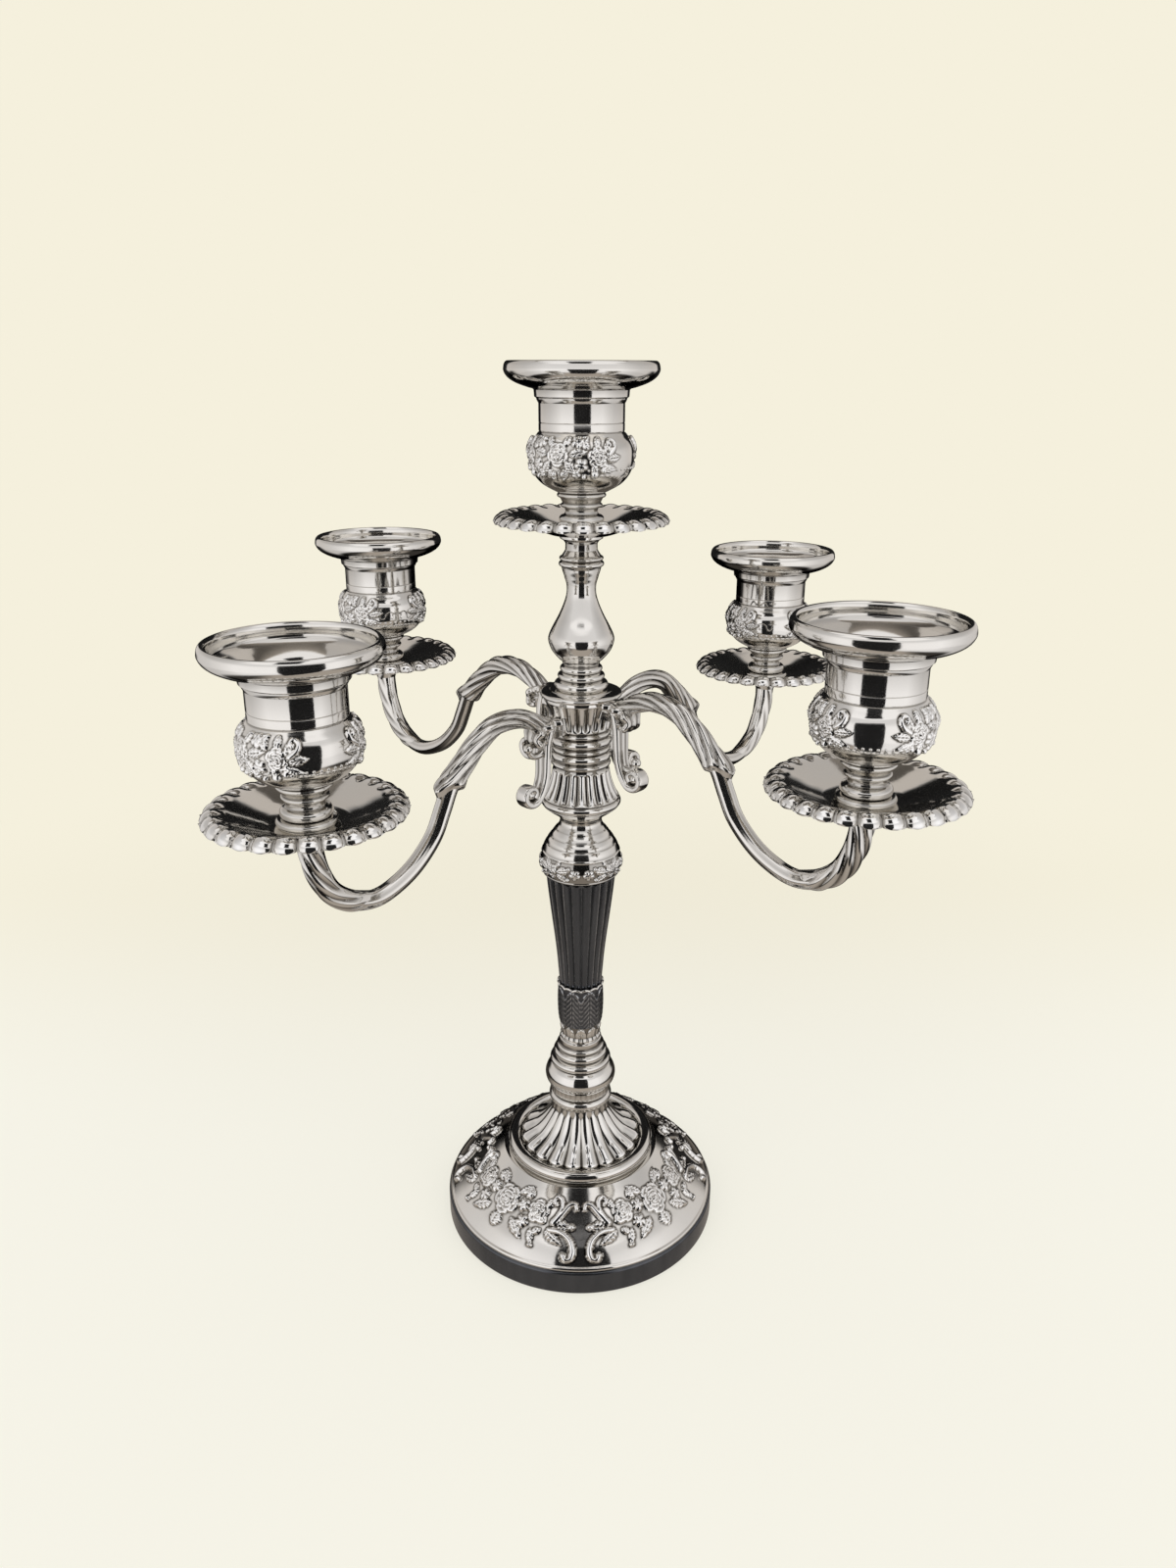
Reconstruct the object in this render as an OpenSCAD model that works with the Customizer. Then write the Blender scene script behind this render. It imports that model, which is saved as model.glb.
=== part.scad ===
// Five-light tabletop candelabra, silver plated, built as castings stacked on a tie rod.
// The axis of the column is Z and the felt under the foot rests on Z = 0.

/* [Base] */
// Outside radius of the foot
foot_r = 45.2; // [40:0.2:56]
// Height of the dark band round the foot
foot_band_h = 8.2; // [6:0.2:12]
// Thickness of the felt under the foot
felt_t = 1.2; // [0.8:0.1:2]
// Thickness of the steel plate that closes the foot
base_plate_t = 1; // [0.8:0.1:2]
// Thickness of the iron weight inside the foot
weight_t = 4.6; // [2:0.2:5]
// Height of the dome's lip above the table
dome_top_z = 24.8; // [22:0.2:29]
// Radius of the dome's lip
step_r = 25.9; // [24:0.1:30]
// Width of the groove between the lip and the round bead
groove_w = 1.4; // [1:0.1:2]
// Thickness of the round bead on the dome
bead_t = 4.2; // [3.6:0.2:5.2]
// Height of the ribbed cone on the dome
cone_h = 17; // [14:0.2:21]
// Ribs round the cone
cone_ribs = 20; // [16:1:24]

/* [Column] */
// Radius of the collar on top of the base and of the castings' ends
collar_r = 9.9; // [9:0.1:12]
// Height of the turned baluster with the lower ball
baluster_h = 27.4; // [23:0.1:33]
// Largest radius of the lower ball
ball_r = 11.6; // [11:0.1:14]
// Height of the dark leaf cup
leaf_cup_h = 14.6; // [12:0.1:18]
// Largest radius of the leaf cup
leaf_cup_r = 7.6; // [7.2:0.1:9]
// Height of the fluted shaft
shaft_h = 38.7; // [32:0.1:47]
// Radius of the shaft at its foot
shaft_foot_r = 6.8; // [6:0.1:7.4]
// Radius of the shaft at its top
shaft_top_r = 10.9; // [9.5:0.1:12]
// Flutes round the shaft
shaft_flutes = 22; // [16:1:24]
// Height of the knop
knop_h = 17.8; // [15:0.1:21]
// Largest radius of the knop
knop_r = 12.9; // [12.4:0.1:15]

/* [Hub] */
// Height of the hub from the knop to its open top
hub_h = 39.5; // [36:0.1:47]
// Radius of the hub's lower rim
hub_rim_r = 12.2; // [11:0.1:14]
// Radius of the hub's open top
hub_top_r = 11.1; // [10.4:0.1:13]
// Flutes round each flare of the hub
hub_flutes = 20; // [16:1:24]
// Thickness of each arm pair's ring
arm_ring_t = 4.8; // [4.4:0.1:6]
// Outside radius of each arm pair's ring
arm_ring_r = 7.1; // [6:0.1:7.4]
// Thickness of the round cap on the hub
cap_t = 2.2; // [1.6:0.1:4]
// Radius of the cap
cap_r = 12.2; // [11:0.1:14]
// Height of the vase-shaped upper stem
stem_h = 44.9; // [38:0.1:54]
// Largest radius of the upper stem's belly
stem_belly_r = 9.7; // [8:0.1:12]

/* [Arms] */
// Distance from the column's axis to each outer candle
reach = 95.5; // [90:0.5:115]
// Radius of the slender part of the arm
arm_r = 2.45; // [2.2:0.05:2.9]
// Drop from the arm's ring to the bottom of its bend
arm_drop = 31.8; // [27:0.2:36]
// Rise of the arm's crest above its ring
arm_crest = 6; // [4:0.2:8]
// Radius of the leaf sleeve at its open end
sleeve_r = 3.35; // [2.9:0.05:4]

/* [Cups and pans] */
// Radius of the candle socket
socket_r = 11.1; // [9:0.1:11.3]
// Depth of the candle socket
socket_depth = 22.4; // [16:0.2:23]
// Height of the cup from the pan to its rim
cup_h = 44.9; // [43:0.1:53]
// Outside radius of the cup's neck
neck_r = 11.85; // [11.6:0.05:13]
// Largest radius of the cup's belly
belly_r = 15; // [14:0.1:18]
// Outside radius of the cup's rolled rim
rim_r = 21.1; // [19:0.1:25]
// Outside radius of the drip pan
pan_r = 24.8; // [22:0.1:29]
// Thickness of the drip pan
pan_t = 1; // [0.8:0.1:1.3]
// Lobes round the drip pan
pan_lobes = 28; // [20:1:32]

/* [Fittings] */
// Radius of the tie rod
rod_r = 3; // [2.5:0.1:3.2]
// Radius of the threaded studs that hold the cups
stud_r = 2; // [1.5:0.1:2.2]
// Radial gap of a cup or pan on its stud
turn_gap = 0.06; // [0.02:0.01:0.1]
// Radial gap of the castings round the tie rod
rod_gap = 0.2; // [0.1:0.05:0.4]
// Gap between pieces that seat in one another
seat_gap = 0.3; // [0.2:0.05:0.5]

/* [Hidden] */
$fn = 96;

// colours
silver = [0.78, 0.77, 0.75];
gunmetal = [0.16, 0.16, 0.17];
steel = [0.6, 0.6, 0.62];
iron = [0.25, 0.25, 0.26];
felt = [0.08, 0.08, 0.09];

// heights of the stack
plate_z = felt_t;
weight_z = plate_z + base_plate_t;
dome_z = foot_band_h;
bead_r = step_r - groove_w;
cone_r = bead_r - bead_t - 0.2;
cone_z = dome_top_z - 0.8;
collar_z = cone_z + cone_h;
collar_h = 3;
baluster_z = collar_z + collar_h;
leaf_cup_z = baluster_z + baluster_h;
shaft_z = leaf_cup_z + leaf_cup_h;
knop_z = shaft_z + shaft_h;
hub_z = knop_z + knop_h;
hub_top_z = hub_z + hub_h;
arm_z_upper = hub_top_z - arm_ring_t / 2;
arm_z_lower = arm_z_upper - arm_ring_t;
hub_floor_z = hub_top_z - 2 * arm_ring_t;
cap_z = hub_top_z;
stem_z = cap_z + cap_t;
stem_seat_z = stem_z + stem_h;

// arms
tip_above_ring = -6;
tip_collar_r = 4.4;
tip_collar_t = 1.6;
spoke_w = 5.4;
spoke_end = hub_top_r + 1.4;
seat_z_lower = arm_z_lower + tip_above_ring;
seat_z_upper = arm_z_upper + tip_above_ring;

// fittings
nut_af = 10;
nut_h = 5;
washer_r = 6;
washer_t = 1.5;
web_t = 3;
web_z = cone_z - web_t;
rod_foot_z = web_z - washer_t - nut_h - 1;
rod_in_stem = 12;
stud_in_arm = 6.5;
stud_in_cup = 6;
blind_gap = 0.5;
cup_z = pan_t;

// a smooth line through the points p, with n steps between each two
function smooth(p, n) = let (m = len(p) - 1) concat(
    [for (i = [0 : m - 1], k = [0 : n - 1])
        let (a = p[max(i - 1, 0)], b = p[i], c = p[i + 1], d = p[min(i + 2, m)], t = k / n)
        0.5 * (2 * b + (c - a) * t + (2 * a - 5 * b + 4 * c - d) * t * t
            + (3 * b - a - 3 * c + d) * t * t * t)],
    [p[m]]);

// an outline given as [radius, share of the height h]
function tall(h, p) = [for (q = p) [q.x, h * q.y]];

// a revolved solid whose outline runs up through the points, with round rings on it
module turned(outline, rings = []) {
    first = outline[0];
    last = outline[len(outline) - 1];
    rotate_extrude() {
        polygon(concat([[0, first.y]], outline, [[0, last.y]]));
        for (ring = rings)
            intersection() {
                translate([ring[0] - ring[2], ring[1]])
                    circle(r = ring[2], $fn = 48);
                translate([0, ring[1] - ring[2]])
                    square([ring[0] + ring[2], 2 * ring[2]]);
            }
    }
}

module rod_hole(low, high, r = rod_r + rod_gap) {
    translate([0, 0, low - 1])
        cylinder(r = r, h = high - low + 2);
}

// flutes cut along a cone between two heights
module flutes(count, low_z, low_r, high_z, high_r, cutter_r) {
    lean = atan2(high_r - low_r, high_z - low_z);
    long = norm([high_r - low_r, high_z - low_z]);
    for (i = [0 : count - 1])
        rotate([0, 0, (i + 0.5) * 360 / count])
            translate([low_r, 0, low_z])
                rotate([0, lean, 0])
                    cylinder(r = cutter_r, h = long, $fn = 24);
}

// ---------------------------------------------------------------- base

module felt_pad() {
    color(felt)
        cylinder(r = foot_r - 2.2, h = felt_t);
}

module base_plate() {
    color(steel)
        translate([0, 0, plate_z])
            cylinder(r = foot_r - 1.5, h = base_plate_t);
}

module base_weight() {
    color(iron)
        translate([0, 0, weight_z])
            difference() {
                cylinder(r = foot_r - 5.5, h = weight_t);
                translate([0, 0, -1])
                    cylinder(r = washer_r + 4, h = weight_t + 2);
            }
}

module foot_ring() {
    color(gunmetal)
        difference() {
            turned([[foot_r - 0.5, 0.3], [foot_r, 0.8], [foot_r, foot_band_h - 0.4],
                [foot_r - 0.4, foot_band_h]]);
            translate([0, 0, weight_z])
                cylinder(r = foot_r - 5.2, h = foot_band_h);
            translate([0, 0, -1])
                cylinder(r = foot_r - 1.2, h = weight_z + 1);
        }
}

function dome_line() = let (low = dome_z + 1.4, h = dome_top_z - low, w = foot_r - 1.5 - step_r)
    smooth([for (p = [[1, 0], [0.85, 0.19], [0.68, 0.36], [0.455, 0.585], [0.23, 0.8], [0, 1]])
        [step_r + w * p.x, low + h * p.y]], 4);

module base_dome() {
    wall = 2;
    // the pedestal that the bead is cast on
    pedestal_z = cone_z + bead_t * 0.36;
    color(silver)
        difference() {
            turned(concat(
                [[foot_r - 0.8, dome_z], [foot_r - 0.6, dome_z + 0.8]],
                dome_line(),
                [[step_r - 0.3, cone_z], [bead_r - 0.3, cone_z], [bead_r - 0.4, pedestal_z],
                    [bead_r - bead_t + 0.4, pedestal_z], [bead_r - bead_t + 0.3, cone_z]]),
                [[bead_r, cone_z + bead_t / 2, bead_t / 2]]);
            turned(concat(
                [[foot_r - 5.2, dome_z - 1], [foot_r - 5.2, dome_z + 0.4]],
                [for (p = dome_line()) if (p.x < foot_r - 5.2 && p.y - wall < web_z)
                    [p.x - wall, p.y - wall]],
                [[step_r - 4, web_z]]));
            rod_hole(web_z, cone_z);
        }
}

// the cone whose convex ribs widen towards their rounded feet
module base_cone() {
    across = 6;
    n = cone_ribs * across;
    top_r = collar_r - 1.2;
    // [share of the foot's spread, share of the height]
    line = [[0.82, 0], [0.885, 0.024], [0.98, 0.094], [1, 0.176], [0.938, 0.253], [0.78, 0.318],
        [0.566, 0.4], [0.363, 0.53], [0.195, 0.68], [0.071, 0.85], [0, 1.024]];
    function rib(i) = 1 - abs(sin(180 * i / across));
    function ring(r, deep, z) = [for (i = [0 : n - 1])
        let (a = 360 * (i / n + 0.5 / cone_ribs), q = r - deep * rib(i)) [q * cos(a), q * sin(a), z]];
    rings = [for (p = line)
        ring(top_r + (cone_r - top_r) * p.x, 0.3 + p.x, cone_z + cone_h * p.y)];
    last = len(rings) - 1;
    color(silver)
        difference() {
            union() {
                polyhedron(
                    points = [for (row = rings) each row],
                    faces = concat(
                        [[for (i = [0 : n - 1]) i]],
                        [[for (i = [0 : n - 1]) last * n + n - 1 - i]],
                        [for (k = [0 : last - 1], i = [0 : n - 1])
                            let (j = (i + 1) % n, low = k * n, high = low + n)
                            each [[low + i, high + i, high + j], [low + i, high + j, low + j]]]));
                translate([0, 0, collar_z])
                    turned([[collar_r - 1, 0], [collar_r - 1, collar_h]],
                        [[collar_r, collar_h / 2, collar_h / 2 - 0.2]]);
            }
            rod_hole(cone_z, baluster_z);
        }
}

// ---------------------------------------------------------------- column

module baluster() {
    h = baluster_h;
    color(silver)
        difference() {
            translate([0, 0, baluster_z])
                turned(tall(h, concat(
                    [[collar_r - 0.1, 0], [collar_r, 0.015], [collar_r, 0.055],
                        [collar_r - 0.4, 0.062], [collar_r + 0.1, 0.073], [collar_r + 0.1, 0.164],
                        [collar_r - 0.3, 0.179]],
                    smooth([[ball_r - 1.3, 0.19], [ball_r - 0.4, 0.215], [ball_r, 0.277],
                        [ball_r - 0.2, 0.328], [ball_r - 1, 0.394]], 3),
                    [[ball_r - 1.5, 0.401], [ball_r - 1.5, 0.438], [ball_r - 2.6, 0.445],
                        [ball_r - 2.7, 0.518], [ball_r - 2.6, 0.526], [ball_r - 2.6, 0.547],
                        [ball_r - 3.2, 0.558], [ball_r - 3.2, 0.63]],
                    smooth([[ball_r - 3.1, 0.635], [leaf_cup_r + 0.2, 0.675],
                        [leaf_cup_r - 0.4, 0.73], [leaf_cup_r - 0.7, 0.777]], 2),
                    smooth([[leaf_cup_r - 1.1, 0.79], [leaf_cup_r - 1.7, 0.839],
                        [leaf_cup_r - 1.9, 0.876], [leaf_cup_r - 1.4, 0.949],
                        [leaf_cup_r - 1.2, 1]], 2))),
                    [[ball_r - 1.9, h * 0.482, 0.8], [ball_r - 2.8, h * 0.599, 0.9]]);
            rod_hole(baluster_z, leaf_cup_z);
        }
}

module leaf_cup() {
    h = leaf_cup_h;
    leaves = 8;
    color(gunmetal)
        difference() {
            translate([0, 0, leaf_cup_z])
                turned(tall(h, concat(
                    smooth([[leaf_cup_r - 1.2, 0], [leaf_cup_r - 0.8, 0.075],
                        [leaf_cup_r - 0.5, 0.247], [leaf_cup_r - 0.3, 0.52],
                        [leaf_cup_r - 0.3, 0.863]], 3),
                    [[leaf_cup_r - 0.1, 0.93], [leaf_cup_r, 1]])));
            rod_hole(leaf_cup_z, shaft_z);
            // the clefts between the leaves
            translate([0, 0, leaf_cup_z])
                flutes(leaves, h * 0.1, leaf_cup_r - 0.8, h * 0.86, leaf_cup_r + 0.1, 0.7);
        }
}

module fluted_shaft() {
    cutter = 1.15;
    sink = 0.55;
    color(gunmetal)
        difference() {
            translate([0, 0, shaft_z])
                turned([[shaft_foot_r, 0], [shaft_top_r, shaft_h]]);
            rod_hole(shaft_z, knop_z);
            flutes(shaft_flutes, shaft_z - 1, shaft_foot_r + cutter - sink,
                knop_z + 1, shaft_top_r + cutter - sink, cutter);
        }
}

module knop() {
    h = knop_h;
    color(silver)
        difference() {
            translate([0, 0, knop_z])
                turned(tall(h, concat(
                    smooth([[knop_r - 2, 0], [knop_r - 1.3, 0.034], [knop_r - 0.7, 0.084],
                        [knop_r - 0.1, 0.197], [knop_r, 0.298], [knop_r - 0.4, 0.382],
                        [knop_r - 0.8, 0.466]], 3),
                    smooth([[knop_r - 1.1, 0.478], [knop_r - 1.4, 0.54], [knop_r - 2, 0.596]], 2),
                    smooth([[knop_r - 2.2, 0.607], [knop_r - 2.6, 0.66], [knop_r - 3.3, 0.719]], 2),
                    smooth([[knop_r - 3.6, 0.73], [knop_r - 4.1, 0.78], [knop_r - 4.9, 0.843]], 2),
                    smooth([[knop_r - 5.2, 0.854], [knop_r - 6.2, 0.933], [6.4, 1]], 2))));
            rod_hole(knop_z, hub_z);
        }
}

// ---------------------------------------------------------------- hub

hub_waist_r = 8.5;
flare_low_z = hub_z + 8;
flare_low_top_z = hub_z + 17.2;
flare_up_z = hub_z + 30;

module hub_body() {
    notch_w = spoke_w + 2 * seat_gap;
    color(silver)
        difference() {
            translate([0, 0, hub_z])
                turned(concat(
                    [[6.4, 0]],
                    smooth([[6.6, 0.6], [7.8, 2.2], [10, 4], [hub_rim_r - 0.6, 5.4]], 3),
                    [[hub_rim_r - 0.2, 5.8], [hub_rim_r, 6.4], [hub_rim_r, 7.2],
                        [hub_rim_r - 0.4, 7.8]],
                    smooth([[hub_rim_r - 0.7, 8], [10.1, 10.6], [9, 13.8], [hub_waist_r, 17.2]], 3),
                    [[hub_waist_r, 29.6], [hub_waist_r + 0.2, 30]],
                    smooth([[hub_waist_r + 0.2, 30], [hub_waist_r + 0.7, 33.6],
                        [hub_top_r - 0.9, hub_h - 3.4], [hub_top_r, hub_h]], 3)),
                    [[hub_waist_r + 0.6, 19, 0.7], [hub_waist_r + 0.8, 21.5, 1.25],
                        [hub_waist_r + 0.5, 23.7, 0.6], [hub_waist_r + 0.9, 26.2, 1.3],
                        [hub_waist_r + 0.6, 28.6, 0.6]]);
            rod_hole(hub_z, hub_top_z);
            translate([0, 0, hub_floor_z])
                cylinder(r = arm_ring_r + seat_gap, h = hub_top_z);
            // slots that the arms drop into, one pair deeper than the other
            for (side = [0, 180]) {
                rotate([0, 0, side + 45])
                    translate([0, -notch_w / 2, hub_floor_z - seat_gap])
                        cube([hub_top_r + 4, notch_w, hub_h]);
                rotate([0, 0, side + 135])
                    translate([0, -notch_w / 2, hub_floor_z + arm_ring_t - seat_gap])
                        cube([hub_top_r + 4, notch_w, hub_h]);
            }
            flutes(hub_flutes, flare_low_z + 0.6, hub_rim_r - 0.3, flare_low_top_z,
                hub_waist_r + 0.35, 0.55);
            flutes(hub_flutes, flare_up_z + 1, hub_waist_r + 0.75, hub_top_z + 1,
                hub_top_r + 0.3, 0.6);
        }
}

module hub_cap() {
    color(silver)
        difference() {
            translate([0, 0, cap_z])
                turned([[cap_r - 0.7, 0], [cap_r - 0.1, 0.5], [cap_r, 1.1], [cap_r - 0.3, 1.6],
                    [cap_r - 1.2, cap_t]]);
            rod_hole(cap_z, stem_z);
        }
}

module upper_stem() {
    h = stem_h;
    b = stem_belly_r;
    color(silver)
        difference() {
            translate([0, 0, stem_z])
                turned(concat(
                    [[7.6, 0], [7.6, 2.6], [6.6, 3], [6.6, 4.6], [5.9, 5], [5.9, 7],
                        [5.6, 7.6], [5.7, 8.6], [6.6, 9]],
                    smooth([[b - 2.6, 9.6], [b - 1, 11.4], [b, 14.4], [b - 1, 17.4],
                        [b - 3.2, 21], [5.1, 24.6], [4.1, 28], [4.2, 31.4], [4.9, 33]], 3),
                    [[5.4, 34.6], [5.6, 35.4], [5.8, 35.8], [5.8, 38.9], [5.5, 39.3],
                        [4.6, 40.6], [4.5, h - 2.6], [6.2, h - 1.2], [6.2, h]]),
                    [[7.9, 1.4, 1.2], [6.9, 3.9, 0.8], [6.2, 6.1, 0.9], [6.5, 36.7, 0.8],
                        [6.3, 38.3, 0.5]]);
            rod_hole(stem_z, stem_z + rod_in_stem - 1 + blind_gap, rod_r + turn_gap);
            rod_hole(stem_seat_z - stud_in_arm, stem_seat_z, stud_r + 0.02);
        }
}

// ---------------------------------------------------------------- arms

// centre line of an arm in its own plane, as [distance from the axis, height above its ring]
arm_bend = smooth([
    [arm_ring_r - 1, 0], [spoke_end, 0], [spoke_end + 3.6, arm_crest * 0.2],
    [spoke_end + 7.6, arm_crest * 0.56], [spoke_end + 12.5, arm_crest * 0.9],
    [spoke_end + 18, arm_crest], [spoke_end + 24, arm_crest * 0.8],
    [spoke_end + 29, arm_crest * 0.26], [reach - 49.4, -arm_drop * 0.08],
    [reach - 44.6, -arm_drop * 0.245], [reach - 41.4, -arm_drop * 0.445],
    [reach - 38, -arm_drop * 0.645], [reach - 32, -arm_drop * 0.83],
    [reach - 25.5, -arm_drop * 0.945], [reach - 18.5, -arm_drop], [reach - 11.5, -arm_drop * 0.955],
    [reach - 5.3, -arm_drop * 0.815], [reach - 1.8, -arm_drop * 0.62],
    [reach - 0.2, -arm_drop * 0.42], [reach, tip_above_ring - tip_collar_t]], 3);
sleeve_end = 28;
leaf_start = 43;

function arm_thickness(i) =
    i <= 3 ? 2.2
    : i <= sleeve_end ? 2.4 + (sleeve_r - 2.4) * pow((i - 3) / (sleeve_end - 3), 1.5)
    : i <= leaf_start ? arm_r + 0.3 * (i - sleeve_end) / (leaf_start - sleeve_end)
    : 3 + 0.15 * sin(180 * (i - leaf_start) / 13);

// a tube swept along a line in the XZ plane; section(i) gives its outline at point i
module swept(line, sections) {
    last = len(line) - 1;
    n = len(sections[0]);
    ring = [for (i = [0 : last])
        let (ahead = line[min(i + 1, last)] - line[max(i - 1, 0)], turn = atan2(ahead.y, ahead.x))
        [for (p = sections[i])
            [line[i].x - p.x * sin(turn), p.y, line[i].y + p.x * cos(turn)]]];
    polyhedron(
        points = [for (row = ring) each row],
        faces = concat(
            [[for (k = [0 : n - 1]) n - 1 - k]],
            [[for (k = [0 : n - 1]) last * n + k]],
            [for (i = [0 : last - 1], k = [0 : n - 1])
                let (m = (k + 1) % n, near = i * n, far = near + n)
                each [[near + k, near + m, far + m], [near + k, far + m, far + k]]]));
}

// the ridged outline of the arm: straight ridges on the tube, winding ones on the leaves
function arm_section(i) =
    let (leafy = i <= sleeve_end || i > leaf_start, twist = leafy ? 11 * i : 0,
        depth = i <= 3 ? 0 : leafy ? 0.09 : 0.07, r = arm_thickness(i))
    [for (k = [0 : 15])
        let (a = k * 22.5, q = r * (1 - depth * (1 + cos(4 * a + twist)) / 2))
        [q * cos(a), q * sin(a)]];

// the ridged scroll that hangs from the arm's root along the hub
module scroll_bracket(curl_drop) {
    band = smooth([[spoke_end + 1.6, 0.6], [spoke_end + 3, -5], [spoke_end + 3.4, -11],
        [spoke_end + 4, -16.4], [spoke_end + 6.6, -20.6], [spoke_end + 9.6, -22.2],
        [spoke_end + 12, -20.4]], 3);
    swept(band, [for (i = [0 : len(band) - 1]) let (w = 2.1 - 0.03 * i)
        [[0.9, -w], [1.3, -0.72 * w], [0.8, -0.5 * w], [1.4, -0.22 * w], [1.4, 0.22 * w],
            [0.8, 0.5 * w], [1.3, 0.72 * w], [0.9, w], [-1.3, w], [-1.3, -w]]]);
    // the volute and its ball
    translate([spoke_end + 11.2, 0, -19])
        sphere(r = 2.3, $fn = 40);
    translate([spoke_end + 9.4, 0, curl_drop])
        sphere(r = 1.4, $fn = 32);
    curl = smooth([[spoke_end + 3, curl_drop - 1.6], [spoke_end + 6.4, curl_drop - 3],
        [spoke_end + 9.2, curl_drop - 1.2]], 3);
    swept(curl, [for (p = curl) [for (a = [0 : 60 : 300]) [0.9 * cos(a), 0.9 * sin(a)]]]);
}

module arm(curl_drop) {
    swept(arm_bend, [for (i = [0 : len(arm_bend) - 1]) arm_section(i)]);
    scroll_bracket(curl_drop);
    // upturned tip of the leaf
    tip = arm_bend[sleeve_end];
    translate([tip.x + sleeve_r * 0.75, 0, tip.y + sleeve_r * 0.45])
        sphere(r = 1.3, $fn = 32);
    // spoke through the hub's wall
    translate([arm_ring_r - 2, -spoke_w / 2, -arm_ring_t / 2])
        cube([spoke_end - arm_ring_r + 3, spoke_w, arm_ring_t]);
    // collar that the pan lies on
    translate([reach, 0, tip_above_ring - tip_collar_t])
        cylinder(r = tip_collar_r, h = tip_collar_t);
}

module arm_pair(curl_drop) {
    difference() {
        union() {
            for (side = [0, 180])
                rotate([0, 0, side])
                    arm(curl_drop);
            translate([0, 0, -arm_ring_t / 2])
                cylinder(r = arm_ring_r, h = arm_ring_t);
        }
        rod_hole(-arm_ring_t, arm_ring_t);
        for (side = [-1, 1])
            translate([side * reach, 0, tip_above_ring - stud_in_arm])
                cylinder(r = stud_r + 0.02, h = stud_in_arm + 1);
    }
}

module arm_pair_lower() {
    color(silver)
        translate([0, 0, arm_z_lower])
            rotate([0, 0, 45]) {
                arm_pair(-4.4);
                // blocks that fill the deeper slots up to the cap
                for (side = [0, 180])
                    rotate([0, 0, side])
                        translate([arm_ring_r + seat_gap + 0.4, -spoke_w / 2, 0])
                            cube([hub_top_r - arm_ring_r - 0.4, spoke_w, 1.5 * arm_ring_t]);
            }
}

module arm_pair_upper() {
    color(silver)
        translate([0, 0, arm_z_upper])
            rotate([0, 0, 135])
                arm_pair(-13.6);
}

// ---------------------------------------------------------------- fittings

module tie_rod() {
    color(steel)
        translate([0, 0, rod_foot_z])
            turned([[rod_r - 0.5, 0], [rod_r, 0.5], [rod_r, stem_z + rod_in_stem - rod_foot_z - 1.5],
                [rod_r - 0.5, stem_z + rod_in_stem - rod_foot_z - 1]]);
}

module rod_nut() {
    color(steel)
        translate([0, 0, web_z - washer_t - nut_h])
            difference() {
                cylinder(r = nut_af / sqrt(3), h = nut_h, $fn = 6);
                rod_hole(0, nut_h, rod_r + 0.02);
            }
}

module rod_washer() {
    color(steel)
        translate([0, 0, web_z - washer_t])
            difference() {
                cylinder(r = washer_r, h = washer_t);
                rod_hole(0, washer_t);
            }
}

module stud(seat_z) {
    translate([0, 0, seat_z - stud_in_arm])
        turned([[stud_r, 0], [stud_r, stud_in_arm + cup_z + stud_in_cup - 0.5],
            [stud_r - 0.5, stud_in_arm + cup_z + stud_in_cup]]);
}

module arm_studs() {
    color(steel)
        for (i = [0 : 3])
            rotate([0, 0, 45 + 90 * i])
                translate([reach, 0, 0])
                    stud(i % 2 == 0 ? seat_z_lower : seat_z_upper);
}

module centre_stud() {
    color(steel)
        stud(stem_seat_z);
}

// ---------------------------------------------------------------- drip pans and cups

module drip_pan() {
    lobe_r = 5;
    lip_r = pan_r - 3.2;
    lip_z = pan_t + 5.2;
    difference() {
        intersection() {
            rotate_extrude()
                polygon(concat(
                    [[0, 0], [7.6, 0]],
                    smooth([[9, 0.2], [13, 1.5], [lip_r - 3, lip_z - 2.9], [lip_r, lip_z - 1.4],
                        [pan_r - 1.2, lip_z - 2.3], [pan_r, lip_z - 3.6]], 2),
                    smooth([[pan_r, lip_z - 2.6], [pan_r - 1, lip_z - 0.9], [lip_r, lip_z],
                        [lip_r - 2.4, lip_z - 0.9], [13, 1.7 + pan_t], [8.6, 0.1 + pan_t]], 2),
                    [[8, pan_t], [0, pan_t]]));
            // scalloped outline
            linear_extrude(lip_z + 1)
                union() {
                    circle(r = pan_r - 2);
                    for (i = [0 : pan_lobes - 1])
                        rotate(360 * i / pan_lobes)
                            translate([pan_r - lobe_r, 0])
                                circle(r = lobe_r, $fn = 48);
                }
        }
        translate([0, 0, -1])
            cylinder(r = stud_r + turn_gap, h = pan_t + 2);
    }
}

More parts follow.
